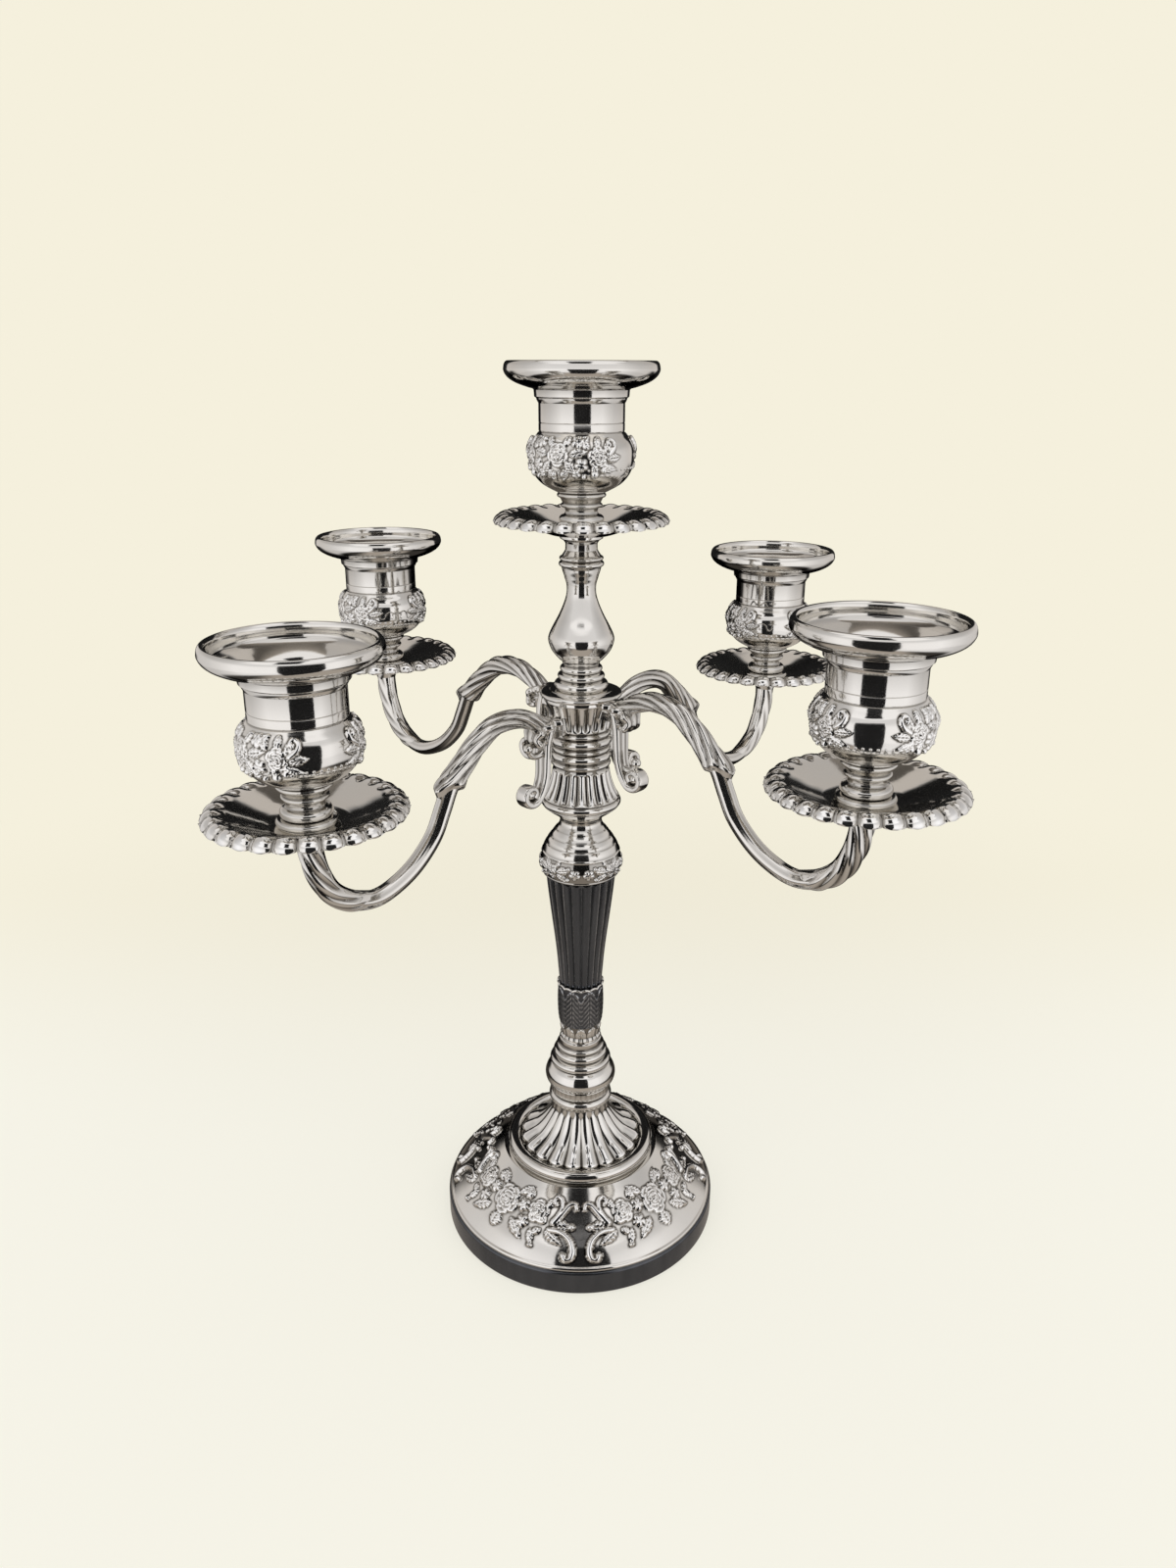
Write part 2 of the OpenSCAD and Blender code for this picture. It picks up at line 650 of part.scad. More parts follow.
module candle_cup() {
    ledge_z = cup_h - 4.4;
    color(silver)
        difference() {
            turned(concat(
                [[7.2, 0], [7.2, 1.4], [5.7, 1.8], [5.7, 4.4]],
                smooth([[4.8, 4.8], [4.6, 5.6], [4.8, 6.2]], 2),
                [[5.2, 6.5], [5.2, 7.7], [6, 8.6]],
                smooth([[6.4, 10.3], [7.9, 11], [11.2, 12.9], [belly_r - 1.2, 15.2],
                    [belly_r - 0.1, 18.6], [belly_r, 21.4], [belly_r - 0.9, 24],
                    [belly_r - 2.7, 26], [neck_r + 0.1, 27.4]], 4),
                [[neck_r - 0.15, 27.8], [neck_r - 0.1, ledge_z - 6.4],
                    [neck_r + 0.5, ledge_z - 5.2], [neck_r + 1, ledge_z - 4.9],
                    [neck_r + 1.2, ledge_z - 2.9]],
                smooth([[neck_r + 2.3, ledge_z - 2.6], [rim_r - 4, ledge_z - 1.6],
                    [rim_r - 2, ledge_z - 0.6], [rim_r - 0.7, ledge_z + 0.5],
                    [rim_r, ledge_z + 2.1], [rim_r - 0.2, ledge_z + 3.6],
                    [rim_r - 0.5, cup_h]], 3)),
                [[7.6, 0.9, 0.85], [6.5, 3.1, 1.4], [5.9, 7.1, 0.6], [6.9, 9.8, 0.65]]);
            translate([0, 0, ledge_z - socket_depth])
                cylinder(r = socket_r, h = socket_depth + 10);
            // the dish inside the rolled rim
            translate([0, 0, ledge_z])
                turned([[socket_r, -0.01], [socket_r + 1.4, 0], [rim_r - 2.6, 1.4],
                    [rim_r - 1.9, 2.4], [rim_r - 1.9, 3.6], [rim_r - 1.4, 4.6]]);
            translate([0, 0, -1])
                cylinder(r = stud_r + turn_gap, h = stud_in_cup + 1 + blind_gap);
        }
}

function arm_place(i) = [reach * cos(i), reach * sin(i), 0];

module pan_centre() {
    color(silver)
        translate([0, 0, stem_seat_z])
            drip_pan();
}

module arm_pan(angle, seat_z) {
    color(silver)
        translate(arm_place(angle) + [0, 0, seat_z])
            drip_pan();
}

module arm_cup(angle, seat_z) {
    translate(arm_place(angle) + [0, 0, seat_z + cup_z])
        candle_cup();
}

module cup_centre() {
    translate([0, 0, stem_seat_z + cup_z])
        candle_cup();
}

module pan_front_left() { arm_pan(-135, seat_z_lower); }
module pan_front_right() { arm_pan(-45, seat_z_upper); }
module pan_back_left() { arm_pan(135, seat_z_upper); }
module pan_back_right() { arm_pan(45, seat_z_lower); }
module cup_front_left() { arm_cup(-135, seat_z_lower); }
module cup_front_right() { arm_cup(-45, seat_z_upper); }
module cup_back_left() { arm_cup(135, seat_z_upper); }
module cup_back_right() { arm_cup(45, seat_z_lower); }

felt_pad();
base_plate();
base_weight();
foot_ring();
base_dome();
base_cone();
baluster();
leaf_cup();
fluted_shaft();
knop();
hub_body();
arm_pair_lower();
arm_pair_upper();
hub_cap();
upper_stem();
tie_rod();
rod_nut();
rod_washer();
arm_studs();
centre_stud();
pan_centre();
pan_front_left();
pan_front_right();
pan_back_left();
pan_back_right();
cup_centre();
cup_front_left();
cup_front_right();
cup_back_left();
cup_back_right();
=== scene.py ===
import bpy
import math
import numpy as np
from mathutils import Matrix, Vector


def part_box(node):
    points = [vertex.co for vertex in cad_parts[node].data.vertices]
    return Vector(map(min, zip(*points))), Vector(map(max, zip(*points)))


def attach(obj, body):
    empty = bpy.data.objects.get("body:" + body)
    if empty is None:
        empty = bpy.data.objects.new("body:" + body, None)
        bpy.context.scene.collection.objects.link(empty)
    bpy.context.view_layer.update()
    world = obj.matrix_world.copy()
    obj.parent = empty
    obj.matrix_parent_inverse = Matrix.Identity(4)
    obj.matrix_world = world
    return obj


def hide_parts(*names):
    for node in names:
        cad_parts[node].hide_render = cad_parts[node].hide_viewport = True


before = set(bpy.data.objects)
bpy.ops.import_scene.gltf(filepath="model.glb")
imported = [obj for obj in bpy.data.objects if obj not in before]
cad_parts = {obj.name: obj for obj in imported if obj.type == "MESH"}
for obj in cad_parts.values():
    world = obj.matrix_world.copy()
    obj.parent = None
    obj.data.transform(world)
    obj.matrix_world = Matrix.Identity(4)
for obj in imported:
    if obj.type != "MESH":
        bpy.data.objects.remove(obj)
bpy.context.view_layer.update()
mm = 0.001
# radii of the holes for the tie rod and the studs, in millimetres
holes = {"rod": 3.25, "stud": 2.1, "cup": 2.06}
print("frame loaded with", len(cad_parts), "parts")


# small helpers for outlines, in millimetres as (radius, height)

def smooth(points, steps):
    p = np.array(points, float)
    rows = []
    for i in range(len(p) - 1):
        a, b, c, d = p[max(i - 1, 0)], p[i], p[i + 1], p[min(i + 2, len(p) - 1)]
        for k in range(steps):
            t = k / steps
            rows.append(0.5 * (2 * b + (c - a) * t + (2 * a - 5 * b + 4 * c - d) * t ** 2
                               + (3 * b - a - 3 * c + d) * t ** 3))
    rows.append(p[-1])
    return [tuple(r) for r in rows]


def bead(radius, height, size, steps=10, start=-90, end=90):
    angles = np.radians(np.linspace(start, end, steps + 1))
    return [(radius + size * math.cos(a), height + size * math.sin(a)) for a in angles]


def rounded(path, size=0.2):
    p = [np.array(q, float) for q in path]
    out = [p[0]]
    for a, b, c in zip(p, p[1:], p[2:]):
        before, after = np.linalg.norm(b - a), np.linalg.norm(c - b)
        if min(before, after) < 1e-6:
            continue
        turn = np.clip(np.dot(b - a, c - b) / (before * after), -1, 1)
        if math.acos(turn) < math.radians(24):
            out.append(b)
            continue
        start = b - (b - a) / before * min(size, 0.45 * before)
        end = b + (c - b) / after * min(size, 0.45 * after)
        for t in (0, 0.25, 0.5, 0.75, 1):
            out.append((1 - t) ** 2 * start + 2 * t * (1 - t) * b + t * t * end)
    out.append(p[-1])
    return np.array(out)


def refined(path, step, low=-1e9, high=1e9):
    # no segment between the two heights is longer than the step
    out = [path[0]]
    for a, b in zip(path, path[1:]):
        inside = low <= (a[1] + b[1]) / 2 <= high
        parts = max(1, int(math.ceil(np.linalg.norm(b - a) / step))) if inside else 1
        out += [a + (b - a) * k / parts for k in range(1, parts + 1)]
    return np.array(out)


def lengthsAlong(path):
    return np.concatenate([[0], np.cumsum(np.linalg.norm(np.diff(path, axis=0), axis=1))])


def closedPath(points, size=0.12):
    # an outline that ends where it starts, with its corners rounded
    return rounded(points + points[:1], size)[:-1]


def columnPath(outside, size=0.12):
    # the outline of a piece of the column, which has the tie rod's hole through it
    return closedPath([(holes["rod"], 0.0)] + outside + [(holes["rod"], outside[-1][1])], size)


def creases(path, reach=1.0, gain=3.0, above=4.0):
    # from 0 to 1 in the hollows between rings, where the painted shade goes; the path runs up its outer side
    step = 0.05
    length = lengthsAlong(path)
    even = np.arange(0, length[-1], step)
    p = np.stack([np.interp(even, length, path[:, k]) for k in (0, 1)], -1)
    n = int(reach / step)
    wide = np.pad(p, ((n, n), (0, 0)), mode="edge")
    window = np.ones(2 * n + 1) / (2 * n + 1)
    mean = np.stack([np.convolve(wide[:, k], window, mode="valid") for k in (0, 1)], -1)
    way = np.gradient(mean, axis=0)
    way /= np.maximum(np.linalg.norm(way, axis=1, keepdims=True), 1e-9)
    off = mean - p
    hollow = np.interp(length, even, off[:, 0] * way[:, 1] - off[:, 1] * way[:, 0])
    return (np.clip(hollow * gain, 0, 1) * (path[:, 0] > above))[:, None]


def ramp(x, low, high):
    # 0 up to low, 1 from high on, and smooth between them
    t = np.clip((x - low) / (high - low), 0, 1)
    return t * t * (3 - 2 * t)


def fall(x, low, high):
    # 1 up to low, 0 from high on
    return ramp(-x, -high, -low)


def within(x, rise, drop):
    # 1 from the end of the rise to the start of the drop
    return ramp(x, *rise) * fall(x, *drop)


# meshes

def plainMesh(name, points, faces, material, sharp=38, **fields):
    # points in metres; each field is a list of one number for every point
    mesh = bpy.data.meshes.new(name)
    mesh.from_pydata(np.asarray(points, float).tolist(), [], faces)
    for label, values in fields.items():
        layer = mesh.attributes.new(label, "FLOAT", "POINT")
        layer.data.foreach_set("value", np.asarray(values, np.float32).ravel())
    mesh.materials.append(material)
    finishMesh(mesh, sharp)
    obj = bpy.data.objects.new(name, mesh)
    bpy.context.scene.collection.objects.link(obj)
    return obj


def finishMesh(mesh, sharp):
    mesh.polygons.foreach_set("use_smooth", [True] * len(mesh.polygons))
    mesh.set_sharp_from_angle(angle=math.radians(sharp))
    mesh.update()


everyPlain = 4      # a plain row of a grid keeps one point in this many


def gridFaces(index, closed, fine):
    rows, cols = index.shape
    faces = []
    for i in range(rows if closed else rows - 1):
        m = (i + 1) % rows
        step = 1 if fine[i] and fine[m] else everyPlain
        for j in range(0, cols, step):
            ring = [(j + k) % cols for k in range(step + 1)]
            here, there = ([int(index[row, c]) for c in ring if fine[row] or c % everyPlain == 0]
                           for row in (i, m))
            faces.append(here + there[::-1])
    return faces


def gridObject(name, grid, material, closed=False, sharp=38, worked=None, **fields):
    # the grid is rows by columns of points in millimetres; open ends get a cap, and where
    # worked is given, the rows that it leaves at zero are plain. The silver reads a field of
    # painted shade, which below zero paints a highlight
    rows, cols = grid.shape[:2]
    fine = np.ones(rows, bool)
    if worked is not None:
        fine = np.abs(worked).reshape(rows, -1).max(1) > 0
        fine = fine | np.roll(fine, 1) | np.roll(fine, -1)
    kept = fine[:, None] | (np.arange(cols) % everyPlain == 0)
    index = (np.cumsum(kept) - 1).reshape(rows, cols)
    points = grid[kept] * mm
    faces = gridFaces(index, closed, fine)
    values = {k: np.broadcast_to(v, (rows, cols))[kept] for k, v in {"recess": 0.0, **fields}.items()}
    if not closed:
        for row, flip in ((0, True), (rows - 1, False)):
            middle = len(points)
            points = np.vstack([points, grid[row].mean(0) * mm])
            values = {k: np.append(v, v[index[row, 0]]) for k, v in values.items()}
            ring = index[row][kept[row]].tolist()
            for a, b in zip(ring, ring[1:] + ring[:1]):
                faces.append([middle, b, a] if flip else [middle, a, b])
    return plainMesh(name, points, faces, material, sharp, **values)


def bearings(cols):
    # the direction of each column of a spun grid
    return np.linspace(0, math.tau, cols, endpoint=False)[None, :]


def awayFrom(bearing, middle):
    # degrees from the middle, between -180 and 180
    return (np.degrees(bearing) - middle + 180) % 360 - 180


def spun(path, cols):
    a = bearings(cols)
    r, z = path[:, :1], path[:, 1:]
    return np.stack([r * np.cos(a), r * np.sin(a), z + 0 * a], -1)


def raised(grid, height):
    # moves the points of a spun grid along its own normals
    along = np.gradient(grid, axis=0)
    around = np.roll(grid, -1, 1) - np.roll(grid, 1, 1)
    normal = np.cross(around, along)
    normal /= np.maximum(np.linalg.norm(normal, axis=-1, keepdims=True), 1e-9)
    return grid + normal * height[..., None]


def moved(obj, place, turn=0.0):
    obj.data.transform(Matrix.Translation(place) @ Matrix.Rotation(math.radians(turn), 4, "Z"))
    return obj


def joined(name, parts):
    # one mesh from several, with their materials and attributes
    for p in parts:
        p.select_set(True)
    bpy.context.view_layer.objects.active = parts[0]
    with bpy.context.temp_override(active_object=parts[0], selected_editable_objects=parts,
                                   selected_objects=parts, object=parts[0]):
        bpy.ops.object.join()
    parts[0].name = name
    parts[0].data.name = name
    parts[0].select_set(False)
    return parts[0]


def pieceName(part):
    first, *rest = part.split("_")
    return first + "".join(word.capitalize() for word in rest)


def footOf(part):
    low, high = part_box(part)
    return Vector(((low[0] + high[0]) / 2, (low[1] + high[1]) / 2, low[2]))


def tallOf(part):
    low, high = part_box(part)
    return (high[2] - low[2]) / mm


def setPiece(obj, body, slot, *replaced):
    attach(obj, body)
    if replaced:
        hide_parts(*replaced)


def seat(obj, part, slot="silver_plate", body="frame", turn=0.0):
    # the piece stands where its CAD part does, and takes that part's place
    moved(obj, footOf(part), turn)
    setPiece(obj, body, slot, part)


# nodes

class Field:
    # a socket that takes part in sums; each sum adds a node
    def __init__(self, tree, socket):
        self.tree, self.socket = tree, socket

    def calc(self, operation, *values):
        return Field(self.tree, add(self.tree, "ShaderNodeMath", dict(enumerate(values)),
                                    operation=operation).outputs[0])

    def __add__(self, other):
        return self.calc("ADD", self, other)

    def __sub__(self, other):
        return self.calc("SUBTRACT", self, other)

    def __rsub__(self, other):
        return self.calc("SUBTRACT", other, self)

    def __mul__(self, other):
        return self.calc("MULTIPLY", self, other)

    def __truediv__(self, other):
        return self.calc("DIVIDE", self, other)

    def __pow__(self, other):
        return self.calc("POWER", self, other)

    def __abs__(self):
        return self.calc("ABSOLUTE", self)


def add(tree, kind, inputs=None, **settings):
    # a new node, whose inputs are linked or set by their names or places
    made = tree.nodes.new(kind)
    for key, value in settings.items():
        setattr(made, key, value)
    for key, value in (inputs or {}).items():
        value = value.socket if isinstance(value, Field) else value
        if isinstance(value, bpy.types.NodeSocket):
            tree.links.new(value, made.inputs[key])
        else:
            made.inputs[key].default_value = value
    return made


# materials

def objectNoise(tree, scale, detail, stretch=(1, 1, 1)):
    place = add(tree, "ShaderNodeTexCoord").outputs["Object"]
    vector = add(tree, "ShaderNodeMapping", {"Vector": place, "Scale": stretch}).outputs["Vector"]
    noise = add(tree, "ShaderNodeTexNoise", {"Vector": vector, "Scale": scale, "Detail": detail})
    return noise.outputs["Fac"]


def spread(tree, fac, low, high):
    return add(tree, "ShaderNodeMapRange", {"Value": fac, "To Min": low, "To Max": high}).outputs["Result"]


def mixed(tree, fac, first, second):
    a, b = ((*value, 1) if isinstance(value, tuple) else value for value in (first, second))
    return add(tree, "ShaderNodeMix", {"Factor": fac, "A": a, "B": b}, data_type="RGBA").outputs["Result"]


def meshField(tree, name):
    return Field(tree, add(tree, "ShaderNodeAttribute", attribute_name=name).outputs["Fac"])


def newMaterial(name, metallic):
    material = bpy.data.materials.new(name)
    material.use_nodes = True
    shader = material.node_tree.nodes["Principled BSDF"]
    shader.inputs["Metallic"].default_value = metallic
    return material, material.node_tree, shader


def linkShader(tree, shader, colour, rough, height, strength, distance):
    bump = add(tree, "ShaderNodeBump", {"Height": height, "Strength": strength, "Distance": distance})
    tree.links.new(colour, shader.inputs["Base Color"])
    tree.links.new(rough, shader.inputs["Roughness"])
    tree.links.new(bump.outputs["Normal"], shader.inputs["Normal"])


# two of these colours are painted light: a dark brown paints shade into hollows, and a near white paints
# highlights on raised tops
plateLook = {"bright": (0.86, 0.845, 0.815), "warm": (0.80, 0.765, 0.70), "mostWarm": 0.7,
             "recess": (0.14, 0.125, 0.105), "crest": (0.985, 0.98, 0.965), "rough": (0.05, 0.13),
             "clouds": 55, "wiping": 160, "grain": 420, "bump": 0.10, "bumpHeight": 0.0001}


def silverPlate():
    look = plateLook
    material, tree, shader = newMaterial("silverPlate", 1.0)
    clouds = spread(tree, objectNoise(tree, look["clouds"], 4), 0.0, look["mostWarm"])
    colour = mixed(tree, clouds, look["bright"], look["warm"])
    # a field on the mesh paints shade into the hollows in the dark brown
    recess = meshField(tree, "recess")
    colour = mixed(tree, recess, colour, look["recess"])
    # below zero the field paints a highlight on raised tops in the near white
    colour = mixed(tree, recess * -1.0, colour, look["crest"])
    rough = spread(tree, objectNoise(tree, look["wiping"], 5), *look["rough"])
    grain = objectNoise(tree, look["grain"], 2)
    linkShader(tree, shader, colour, rough, grain, look["bump"], look["bumpHeight"])
    return material


wearAndGlintLook = {"patches": 700, "amount": (0.1, 1.2)}


def plainFinish(name, dark, pale, metallic, rough, scale, bump=0.1, stretch=(1, 1, 1), worn=None):
    material, tree, shader = newMaterial(name, metallic)
    cloud = objectNoise(tree, scale, 5, stretch)
    colour = mixed(tree, cloud, dark, pale)
    if worn:
        # bare metal worn through along the edges, in patches, which also paints highlights there as glints
        patches = spread(tree, objectNoise(tree, wearAndGlintLook["patches"], 2), *wearAndGlintLook["amount"])
        colour = mixed(tree, meshField(tree, "edge") * patches, colour, worn)
    linkShader(tree, shader, colour, spread(tree, cloud, *rough), cloud, bump, 0.0002)
    return material


silver = silverPlate()
# its pale edges are bare metal worn through, and also painted highlights standing in for glints
gunmetal = plainFinish("darkGunmetal", (0.060, 0.064, 0.072), (0.15, 0.156, 0.17), metallic=0.9,
                       rough=(0.14, 0.28), scale=220, bump=0.12, stretch=(1, 1, 0.2), worn=(0.60, 0.60, 0.61))
steel = plainFinish("zincSteel", (0.52, 0.52, 0.53), (0.62, 0.61, 0.58), metallic=1.0, rough=(0.28, 0.42),
                    scale=300)
iron = plainFinish("castIron", (0.07, 0.068, 0.066), (0.14, 0.13, 0.12), metallic=0.6, rough=(0.55, 0.75),
                   scale=500, bump=0.5)
felt = plainFinish("blackFelt", (0.012, 0.012, 0.014), (0.03, 0.03, 0.032), metallic=0.0, rough=(0.9, 1.0),
                   scale=1500, bump=0.9)
print("materials made")


# geometry node trees

def startTree(name, inputs):
    # inputs are (name, type, value); they come back by name
    tree = bpy.data.node_groups.new(name, "GeometryNodeTree")
    rows = [("Geometry", "Geometry", None)] + inputs + [("Material", "Material", None)]
    for label, kind, value in rows:
        socket = tree.interface.new_socket(label, in_out="INPUT", socket_type="NodeSocket" + kind)
        if value is not None:
            socket.default_value = value
    tree.interface.new_socket("Geometry", in_out="OUTPUT", socket_type="NodeSocketGeometry")
    sockets = add(tree, "NodeGroupInput").outputs
    return tree, {label: Field(tree, sockets[label]) for label, kind, value in rows}


def endTree(tree, geometry, material):
    whole = add(tree, "GeometryNodeRealizeInstances", {"Geometry": geometry})
    last = add(tree, "GeometryNodeSetMaterial", {"Geometry": whole.outputs[0], "Material": material})
    add(tree, "NodeGroupOutput", {0: last.outputs[0]})
    return tree


def namedField(tree, name):
    named = add(tree, "GeometryNodeInputNamedAttribute", {"Name": name}, data_type="FLOAT")
    return Field(tree, named.outputs["Attribute"])


def stored(tree, geometry, name, value):
    return add(tree, "GeometryNodeStoreNamedAttribute", {"Geometry": geometry, "Name": name, "Value": value},
               data_type="FLOAT").outputs[0]


def pushed(tree, geometry, amount):
    # moves the surface along its normals
    normal = add(tree, "GeometryNodeInputNormal").outputs[0]
    offset = add(tree, "ShaderNodeVectorMath", {0: normal, "Scale": amount}, operation="SCALE").outputs[0]
    return add(tree, "GeometryNodeSetPosition", {"Geometry": geometry, "Offset": offset}).outputs[0]


def ribTree():
    # ribs or flutes round the Z axis, as deep as the field "rib" says
    tree, given = startTree("ribsAroundAxis", [
        ("Count", "Int", 20), ("Depth", "Float", 0.001), ("Sharpness", "Float", 0.5),
        ("Hollow", "Float", 0.0)])
    place = add(tree, "GeometryNodeInputPosition").outputs[0]
    x, y = (Field(tree, s) for s in add(tree, "ShaderNodeSeparateXYZ", {0: place}).outputs[:2])
    rib, hollow = namedField(tree, "rib"), given["Hollow"]
    phase = y.calc("ARCTAN2", y, x) * given["Count"] * 0.5 + namedField(tree, "lean")
    crest = abs(phase.calc("COSINE", phase)) ** given["Sharpness"]
    # a rib is cut beside its crest, a flute is cut at it
    shape = (crest - 1.0) * (1.0 - hollow) + crest * -1.0 * hollow
    # painted shade at the bottom of a groove, and a painted highlight on a rib's crest
    dark = (1.0 - crest) ** 1.5 * (1.0 - hollow) * rib
    bright = crest ** 6.0 * rib
    recess = dark.calc("MAXIMUM", dark, namedField(tree, "recess")) - bright
    # the ridge between two flutes is worn bare, and carries a painted highlight
    ridge = (1.0 - crest) ** 5.0 * (hollow * rib)
    marked = stored(tree, stored(tree, given["Geometry"], "recess", recess), "edge", ridge)
    return endTree(tree, pushed(tree, marked, shape * given["Depth"] * rib), given["Material"])


def sweepTree():
    # a tube along a path whose points hold "thickness", with ridges as deep as its "ridge" says
    tree, given = startTree("ridgedSweep", [("Sides", "Int", 32), ("Ridges", "Int", 8)])
    thickness, ridge = namedField(tree, "thickness"), namedField(tree, "ridge")
    curve = add(tree, "GeometryNodeMeshToCurve", {"Mesh": given["Geometry"]}).outputs[0]
    ring = add(tree, "GeometryNodeCurvePrimitiveCircle", {"Resolution": given["Sides"], "Radius": 1.0})
    index = Field(tree, add(tree, "GeometryNodeInputIndex").outputs[0])
    marked = stored(tree, ring.outputs[0], "around", index / given["Sides"] * math.tau)
    tube = add(tree, "GeometryNodeCurveToMesh",
               {"Curve": curve, "Profile Curve": marked, "Scale": thickness, "Fill Caps": True}).outputs[0]
    turn = namedField(tree, "around") * given["Ridges"]
    wave = turn.calc("COSINE", turn)
    shifted = pushed(tree, tube, (wave - 1.0) * 0.5 * (ridge * thickness))
    # painted shade in the grooves between the ridges
    dark = ((1.0 - wave) * 0.5) ** 3.0 * (ridge * 4.0)
    return endTree(tree, stored(tree, shifted, "recess", dark), given["Material"])


def beadTree():
    # a row of small beads on a circle
    tree, given = startTree("beadRow", [
        ("Count", "Int", 40), ("Radius", "Float", 0.01), ("Size", "Float", 0.0005), ("Height", "Float", 0.0)])
    ring = add(tree, "GeometryNodeMeshCircle", {"Vertices": given["Count"], "Radius": given["Radius"]})
    ball = add(tree, "GeometryNodeMeshUVSphere", {"Segments": 10, "Rings": 6, "Radius": given["Size"]})
    row = add(tree, "GeometryNodeInstanceOnPoints",
              {"Points": ring.outputs[0], "Instance": ball.outputs[0]}).outputs[0]
    up = add(tree, "ShaderNodeCombineXYZ", {2: given["Height"]}).outputs[0]
    lifted = add(tree, "GeometryNodeTransform", {"Geometry": row, "Translation": up}).outputs[0]
    return endTree(tree, lifted, given["Material"])


def applyTree(obj, tree, sharp, **values):
    modifier = obj.modifiers.new(tree.name, "NODES")
    modifier.node_group = tree
    for item in tree.interface.items_tree:
        if item.item_type == "SOCKET" and item.in_out == "INPUT" and item.name in values:
            modifier[item.identifier] = values[item.name]
    depsgraph = bpy.context.evaluated_depsgraph_get()
    depsgraph.update()
    mesh = bpy.data.meshes.new_from_object(obj.evaluated_get(depsgraph), depsgraph=depsgraph)
    obj.modifiers.clear()
    old, obj.data = obj.data, mesh
    bpy.data.meshes.remove(old)
    finishMesh(mesh, sharp)
    return obj


ribs, sweep, beads = ribTree(), sweepTree(), beadTree()


def ribbed(obj, count, depth, sharpness, material=silver, hollow=0.0):
    return applyTree(obj, ribs, 50, Count=count, Depth=depth * mm, Sharpness=sharpness, Hollow=hollow,
                     Material=material)


def beadRow(name, count, radius, size, height):
    obj = plainMesh(name, np.zeros((1, 3)), [], silver)
    return applyTree(obj, beads, 60, Count=count, Radius=radius * mm, Size=size * mm, Height=height * mm,
                     Material=silver)


# relief motifs: each gives heights from 0 to 1 over a flat sheet in millimetres

def rose(x, y, size, turn=0.0):
    d, a = np.hypot(x, y) / size, np.arctan2(y, x) + turn
    h = np.zeros_like(d)
    layers = ((5, 1.0, 0.10, 0.42, 0.0), (5, 0.78, 0.26, 0.40, 0.65), (4, 0.56, 0.42, 0.40, 0.2),
              (3, 0.36, 0.62, 0.34, 1.1))
    for count, radius, base, lip, phase in layers:
        lobe = np.abs(np.cos(count * (a + phase) / 2))
        t = d / (radius * (0.80 + 0.20 * lobe ** 0.6))
        petal = base + lip * np.clip(t, 0, 1) ** 2.5 - 0.28 * np.exp(-(lobe / 0.2) ** 2) * t
        h = np.maximum(h, petal * fall(t, 0.97, 1.06))
    bud = 0.95 - 6 * d ** 2 - 0.18 * np.cos(2 * a + 30 * d)
    return np.maximum(h, np.where(d < 0.2, bud, 0))


def leaf(x, y, turn, length, width):
    c, s = math.cos(math.radians(turn)), math.sin(math.radians(turn))
    p, q = (x * c + y * s) / length, (y * c - x * s) / width
    edge = np.sin(math.pi * np.clip(p, 0.001, 0.999) ** 0.8) * (1 + 0.10 * np.cos(math.tau * 5 * p))
    t = np.abs(q) / np.maximum(edge, 0.02)
    h = 0.62 - 0.35 * t ** 2 - 0.30 * np.exp(-(q / 0.10) ** 2)
    h = h + 0.10 * np.cos(math.tau * (5 * p + 1.6 * np.abs(q)))
    return np.where((p > 0) & (p < 1), h * fall(t, 0.9, 1.05), 0)


def blossom(x, y, size, turn=0.0, petals=5):
    d, a = np.hypot(x, y) / size, np.arctan2(y, x) + turn
    lobe = np.abs(np.cos(petals * a / 2))
    t = d / (0.55 + 0.45 * lobe ** 0.7)
    petal = 0.30 + 0.45 * np.sin(math.pi * np.clip(t, 0, 1) ** 0.8) - 0.25 * np.exp(-(lobe / 0.25) ** 2)
    return np.maximum(petal * fall(t, 0.9, 1.05), 0.85 * bump(d, 0, 0.26))


def strand(x, y, points, start, end):
    # a raised line through the points, from one half-width to the other
    path = np.array(smooth(points, 5))
    best = np.zeros(np.shape(x))
    for i, (a, b) in enumerate(zip(path, path[1:])):
        along = b - a
        t = np.clip(((x - a[0]) * along[0] + (y - a[1]) * along[1]) / max(along @ along, 1e-9), 0, 1)
        d = np.hypot(x - a[0] - t * along[0], y - a[1] - t * along[1])
        wide = start + (end - start) * (i + t) / (len(path) - 1)
        best = np.maximum(best, np.sqrt(np.clip(1 - (d / wide) ** 2, 0, 1)) * np.minimum(1, 0.5 + wide))
    return best


def bump(x, y, size):
    return np.sqrt(np.clip(1 - (np.hypot(x, y) / size) ** 2, 0, 1))


motifs = {"rose": rose, "leaf": leaf, "blossom": blossom, "strand": strand, "bump": bump}


def relief(u, v, spray):
    h = np.zeros(np.shape(u))
    for kind, x, y, *rest in spray:
        h = np.maximum(h, motifs[kind](u - x, v - y, *rest))
    return h


def withPaintedHighlight(recess, height):
    # a painted highlight on the tops of the relief, while its outlines keep their painted shade
    return np.where(recess > 0.06, recess, -ramp(height, 0.15, 0.45))


def grooves(height, reach, gain):
    # how far each point lies below the average round it
    mean = height
    for axis in (0, 1):
        mean = sum(np.roll(mean, k, axis) for k in range(-reach, reach + 1)) / (2 * reach + 1)
    return np.clip((mean - height) * gain, 0, 1)


# foot

footShape = {"radius": 45.2, "band": 8.2, "feltCols": 128, "ringCols": 256}


def makeFelt():
    path = rounded([(0.01, 0.0), (42.6, 0.0), (43.0, 0.4), (43.0, 0.9), (42.7, 1.2), (0.01, 1.2)], 0.3)
    seat(gridObject("feltPad", spun(refined(path, 2.0), footShape["feltCols"]), felt), "felt_pad", "felt")


